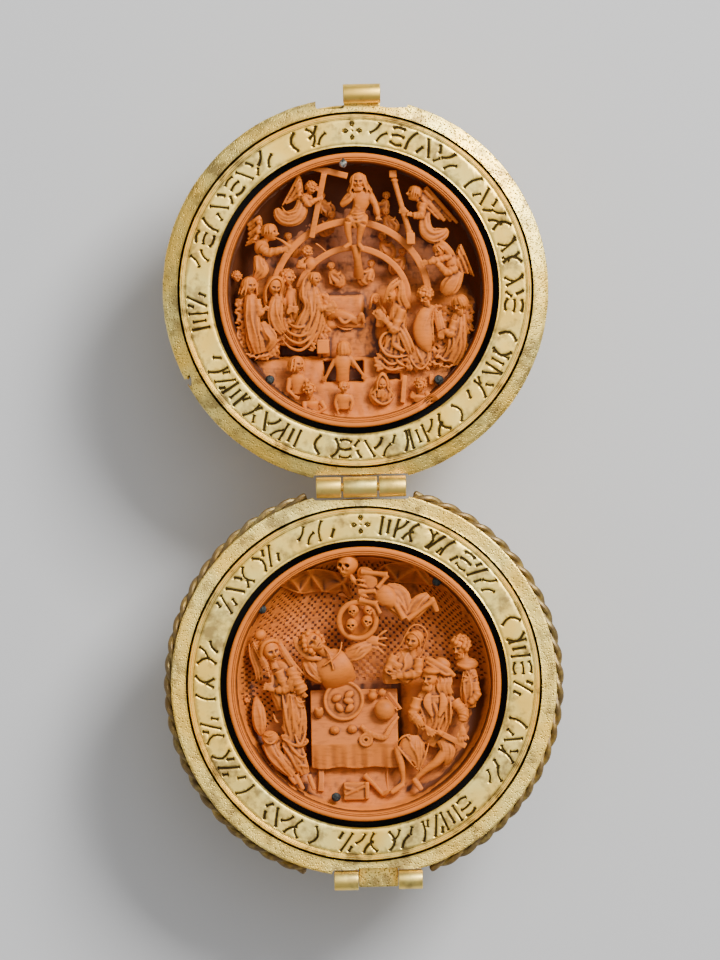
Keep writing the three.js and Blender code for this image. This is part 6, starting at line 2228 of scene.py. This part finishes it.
class CarveTable(bpy.types.Operator):
    """Carve the laid table, its leg and the box beneath it."""

    bl_idname = "bead.carve_table"
    bl_label = "Table"

    def execute(self, context):
        clay = Carving()
        table_cloth(clay)
        still_life(clay)
        clay.tube(((-6.5, -12.5, -4.9), (-6.5, -14.1, -4.4), (-6.6, -15.6, -4.2)),
                  ((0.42, 0.4), (0.42, 0.4), (0.46, 0.4)), 16, 8, squared)
        clay.tube(((3.2, -12.1, -5.2), (3.1, -13.8, -4.9), (3.2, -15.8, -4.6)), ((0.2, 0.2),) * 3, 12, 8)
        clay.slab((-3.3, -16.9, -5.2), (0.1, -14.3, -3.2), 0.12)
        clay.beam((-3.1, -16.1, -3.15), (-0.2, -14.9, -3.15), 0.14, 0.14)
        clay.beam((-3.1, -15.1, -3.15), (-1.2, -15.5, -3.15), 0.14, 0.14)
        clay.slab((-0.15, -16.8, -5.2), (0.45, -14.3, -2.9), 0.1)
        clay.fuse("laid_table", LOWER, "lower")
        return {"FINISHED"}


def banquet_ground(x, y):
    """Depth of the concave wall behind the banquet, and of the floor and banks in front of it."""
    wall = cloth_depth(x, y)
    floor = float(np.interp(y, (-19, -12.4, -11, -4, 1), (-3.3, -5.6, -6.4, -7.6, -8.8)))
    depth = max(wall, floor)
    if y < 1:
        bank = float(np.interp(y, (-14, 1), (-4.7, -6.4)))
        side = 1 - edge_step(x, -9.0, 1.8) + edge_step(x, 5.8, 1.8)
        depth += max(0, bank - depth) * side * edge_step(0.4, y, 2)
    return depth


# Cloths that cover the dots: x, y, half width and half height.
CLOTHS = ((-7.3, 14.8, 5, 1.7), (6.1, 15.6, 4.3, 1.7), (3.9, 12.8, 4.5, 3.4))


def punched_form():
    """The banquet's ground, with the rows of punched dots of its wall."""
    cells = round(GROUND_RADIUS * 2.83 / (sizes().dot_spacing / MM))
    form = ground_form(banquet_ground, cells)
    form.faces.ensure_lookup_table()
    draw = random.Random(9)
    dotted = []
    for index, face in enumerate(form.faces[:cells * cells]):
        middle = face.calc_center_median()
        wall = middle.y > 0.4 or (middle.x < -13.2 and middle.y > -6)
        bare = min(((middle.x - x) / wide) ** 2 + ((middle.y - y) / tall) ** 2
                   for x, y, wide, tall in CLOTHS)
        if (wall and bare > 1 and (index // cells + index % cells) % 2 and middle.xy.length < 17.9
                and draw.random() < 0.92):
            dotted.append(face)
    bmesh.ops.inset_individual(form, faces=dotted, thickness=0.17, depth=0)
    for face in dotted:
        shift = Vector((draw.uniform(-0.12, 0.12), draw.uniform(-0.12, 0.12), -0.24))
        middle = face.calc_center_median()
        for vertex in face.verts:
            vertex.co = vertex.co.lerp(middle, 0.25) + shift
    return form


class CarvePunchedWall(bpy.types.Operator):
    """Carve the concave wall with its punched dots, and the floor of the banquet."""

    bl_idname = "bead.carve_punched_wall"
    bl_label = "Punched wall"

    def execute(self, context):
        new_piece("banquet_ground", punched_form(), LOWER, material(boxwood, "boxwood_carved"),
                  "lower_half", "boxwood", "lower_roundel", sharp=60, hollows=(2, 12, 0.08))
        return {"FINISHED"}


# Stage

CAMERA_MIDDLE = (0.06 * MM, 1.01 * MM)
CAMERA_ROLL = math.radians(-1.24)
CAMERA_HEIGHT = 1.1
PICTURE_HEIGHT = 960 * 0.1448 * MM
SENSOR = 36


def area_light(name, place, size, power):
    """A square soft light that points at the bead."""
    data = bpy.data.lights.new(name, "AREA")
    data.size = size
    data.energy = power
    light = bpy.data.objects.new(name, data)
    light.location = place
    light.rotation_euler = (Vector((0, 0, 0)) - Vector(place)).to_track_quat("-Z", "Y").to_euler()
    bpy.context.scene.collection.objects.link(light)


class MakeStage(bpy.types.Operator):
    """Make the pale floor, the soft lights and the camera that looks straight down."""

    bl_idname = "bead.make_stage"
    bl_label = "Floor, lights and camera"

    def execute(self, context):
        form = bmesh.new()
        bmesh.ops.create_grid(form, x_segments=8, y_segments=8, size=2.5)
        floor = bpy.data.objects.new("floor", mesh_of(form, "floor"))
        floor.data.materials.append(material(floor_paint, "pale_paper"))
        context.scene.collection.objects.link(floor)

        area_light("key", (0.4, 0.42, 0.6), 0.3, 11.0)
        area_light("overhead", (0.3, 0.4, 1.5), 1.5, 9.5)
        area_light("fill", (-0.7, -0.2, 0.7), 0.8, 0.8)

        world = bpy.data.worlds.new("soft_room")
        world.use_nodes = True
        background = world.node_tree.nodes["Background"]
        background.inputs["Color"].default_value = (0.93, 0.95, 1.0, 1)
        background.inputs["Strength"].default_value = 0.36
        context.scene.world = world

        data = bpy.data.cameras.new("camera")
        data.sensor_width = SENSOR
        data.lens = SENSOR * (CAMERA_HEIGHT - PARTING * MM) / PICTURE_HEIGHT
        data.clip_end = 10
        camera = bpy.data.objects.new("camera", data)
        camera.location = (*CAMERA_MIDDLE, CAMERA_HEIGHT)
        camera.rotation_euler = (0, 0, CAMERA_ROLL)
        context.scene.collection.objects.link(camera)
        context.scene.camera = camera
        return {"FINISHED"}


PIECES = (MakeStage, MakeBowls, MakeCollars, MakeRope, MakeFittings, MakePins, MakeRoundels,
          CarveGround, CarveHeaven, CarveSaintsLeft, CarveSaintsRight, CarveRisen,
          CarvePunchedWall, CarveDeath, CarveGuestsLeft, CarveGuestsRight, CarveTable)


class BeadPanel(bpy.types.Panel):
    """The prayer bead's sizes, colours and pieces."""

    bl_idname = "VIEW3D_PT_prayer_bead"
    bl_label = "Prayer Bead"
    bl_space_type = "VIEW_3D"
    bl_region_type = "UI"
    bl_category = "Prayer Bead"

    def draw(self, context):
        for group in (context.scene.bead_sizes, context.scene.bead_colours):
            box = self.layout.box()
            for name in group.__annotations__:
                box.prop(group, name)
        for piece in PIECES:
            self.layout.operator(piece.bl_idname)


CLASSES = (BeadSizes, BeadColours, *PIECES, BeadPanel)


def register():
    for each in CLASSES:
        bpy.utils.register_class(each)
    bpy.types.Scene.bead_sizes = PointerProperty(type=BeadSizes)
    bpy.types.Scene.bead_colours = PointerProperty(type=BeadColours)


def unregister():
    del bpy.types.Scene.bead_colours
    del bpy.types.Scene.bead_sizes
    for each in reversed(CLASSES):
        bpy.utils.unregister_class(each)


def main():
    """Makes every piece in order."""
    register()
    for piece in PIECES:
        group, name = piece.bl_idname.split(".")
        getattr(getattr(bpy.ops, group), name)()


if __name__ == "__main__":
    main()
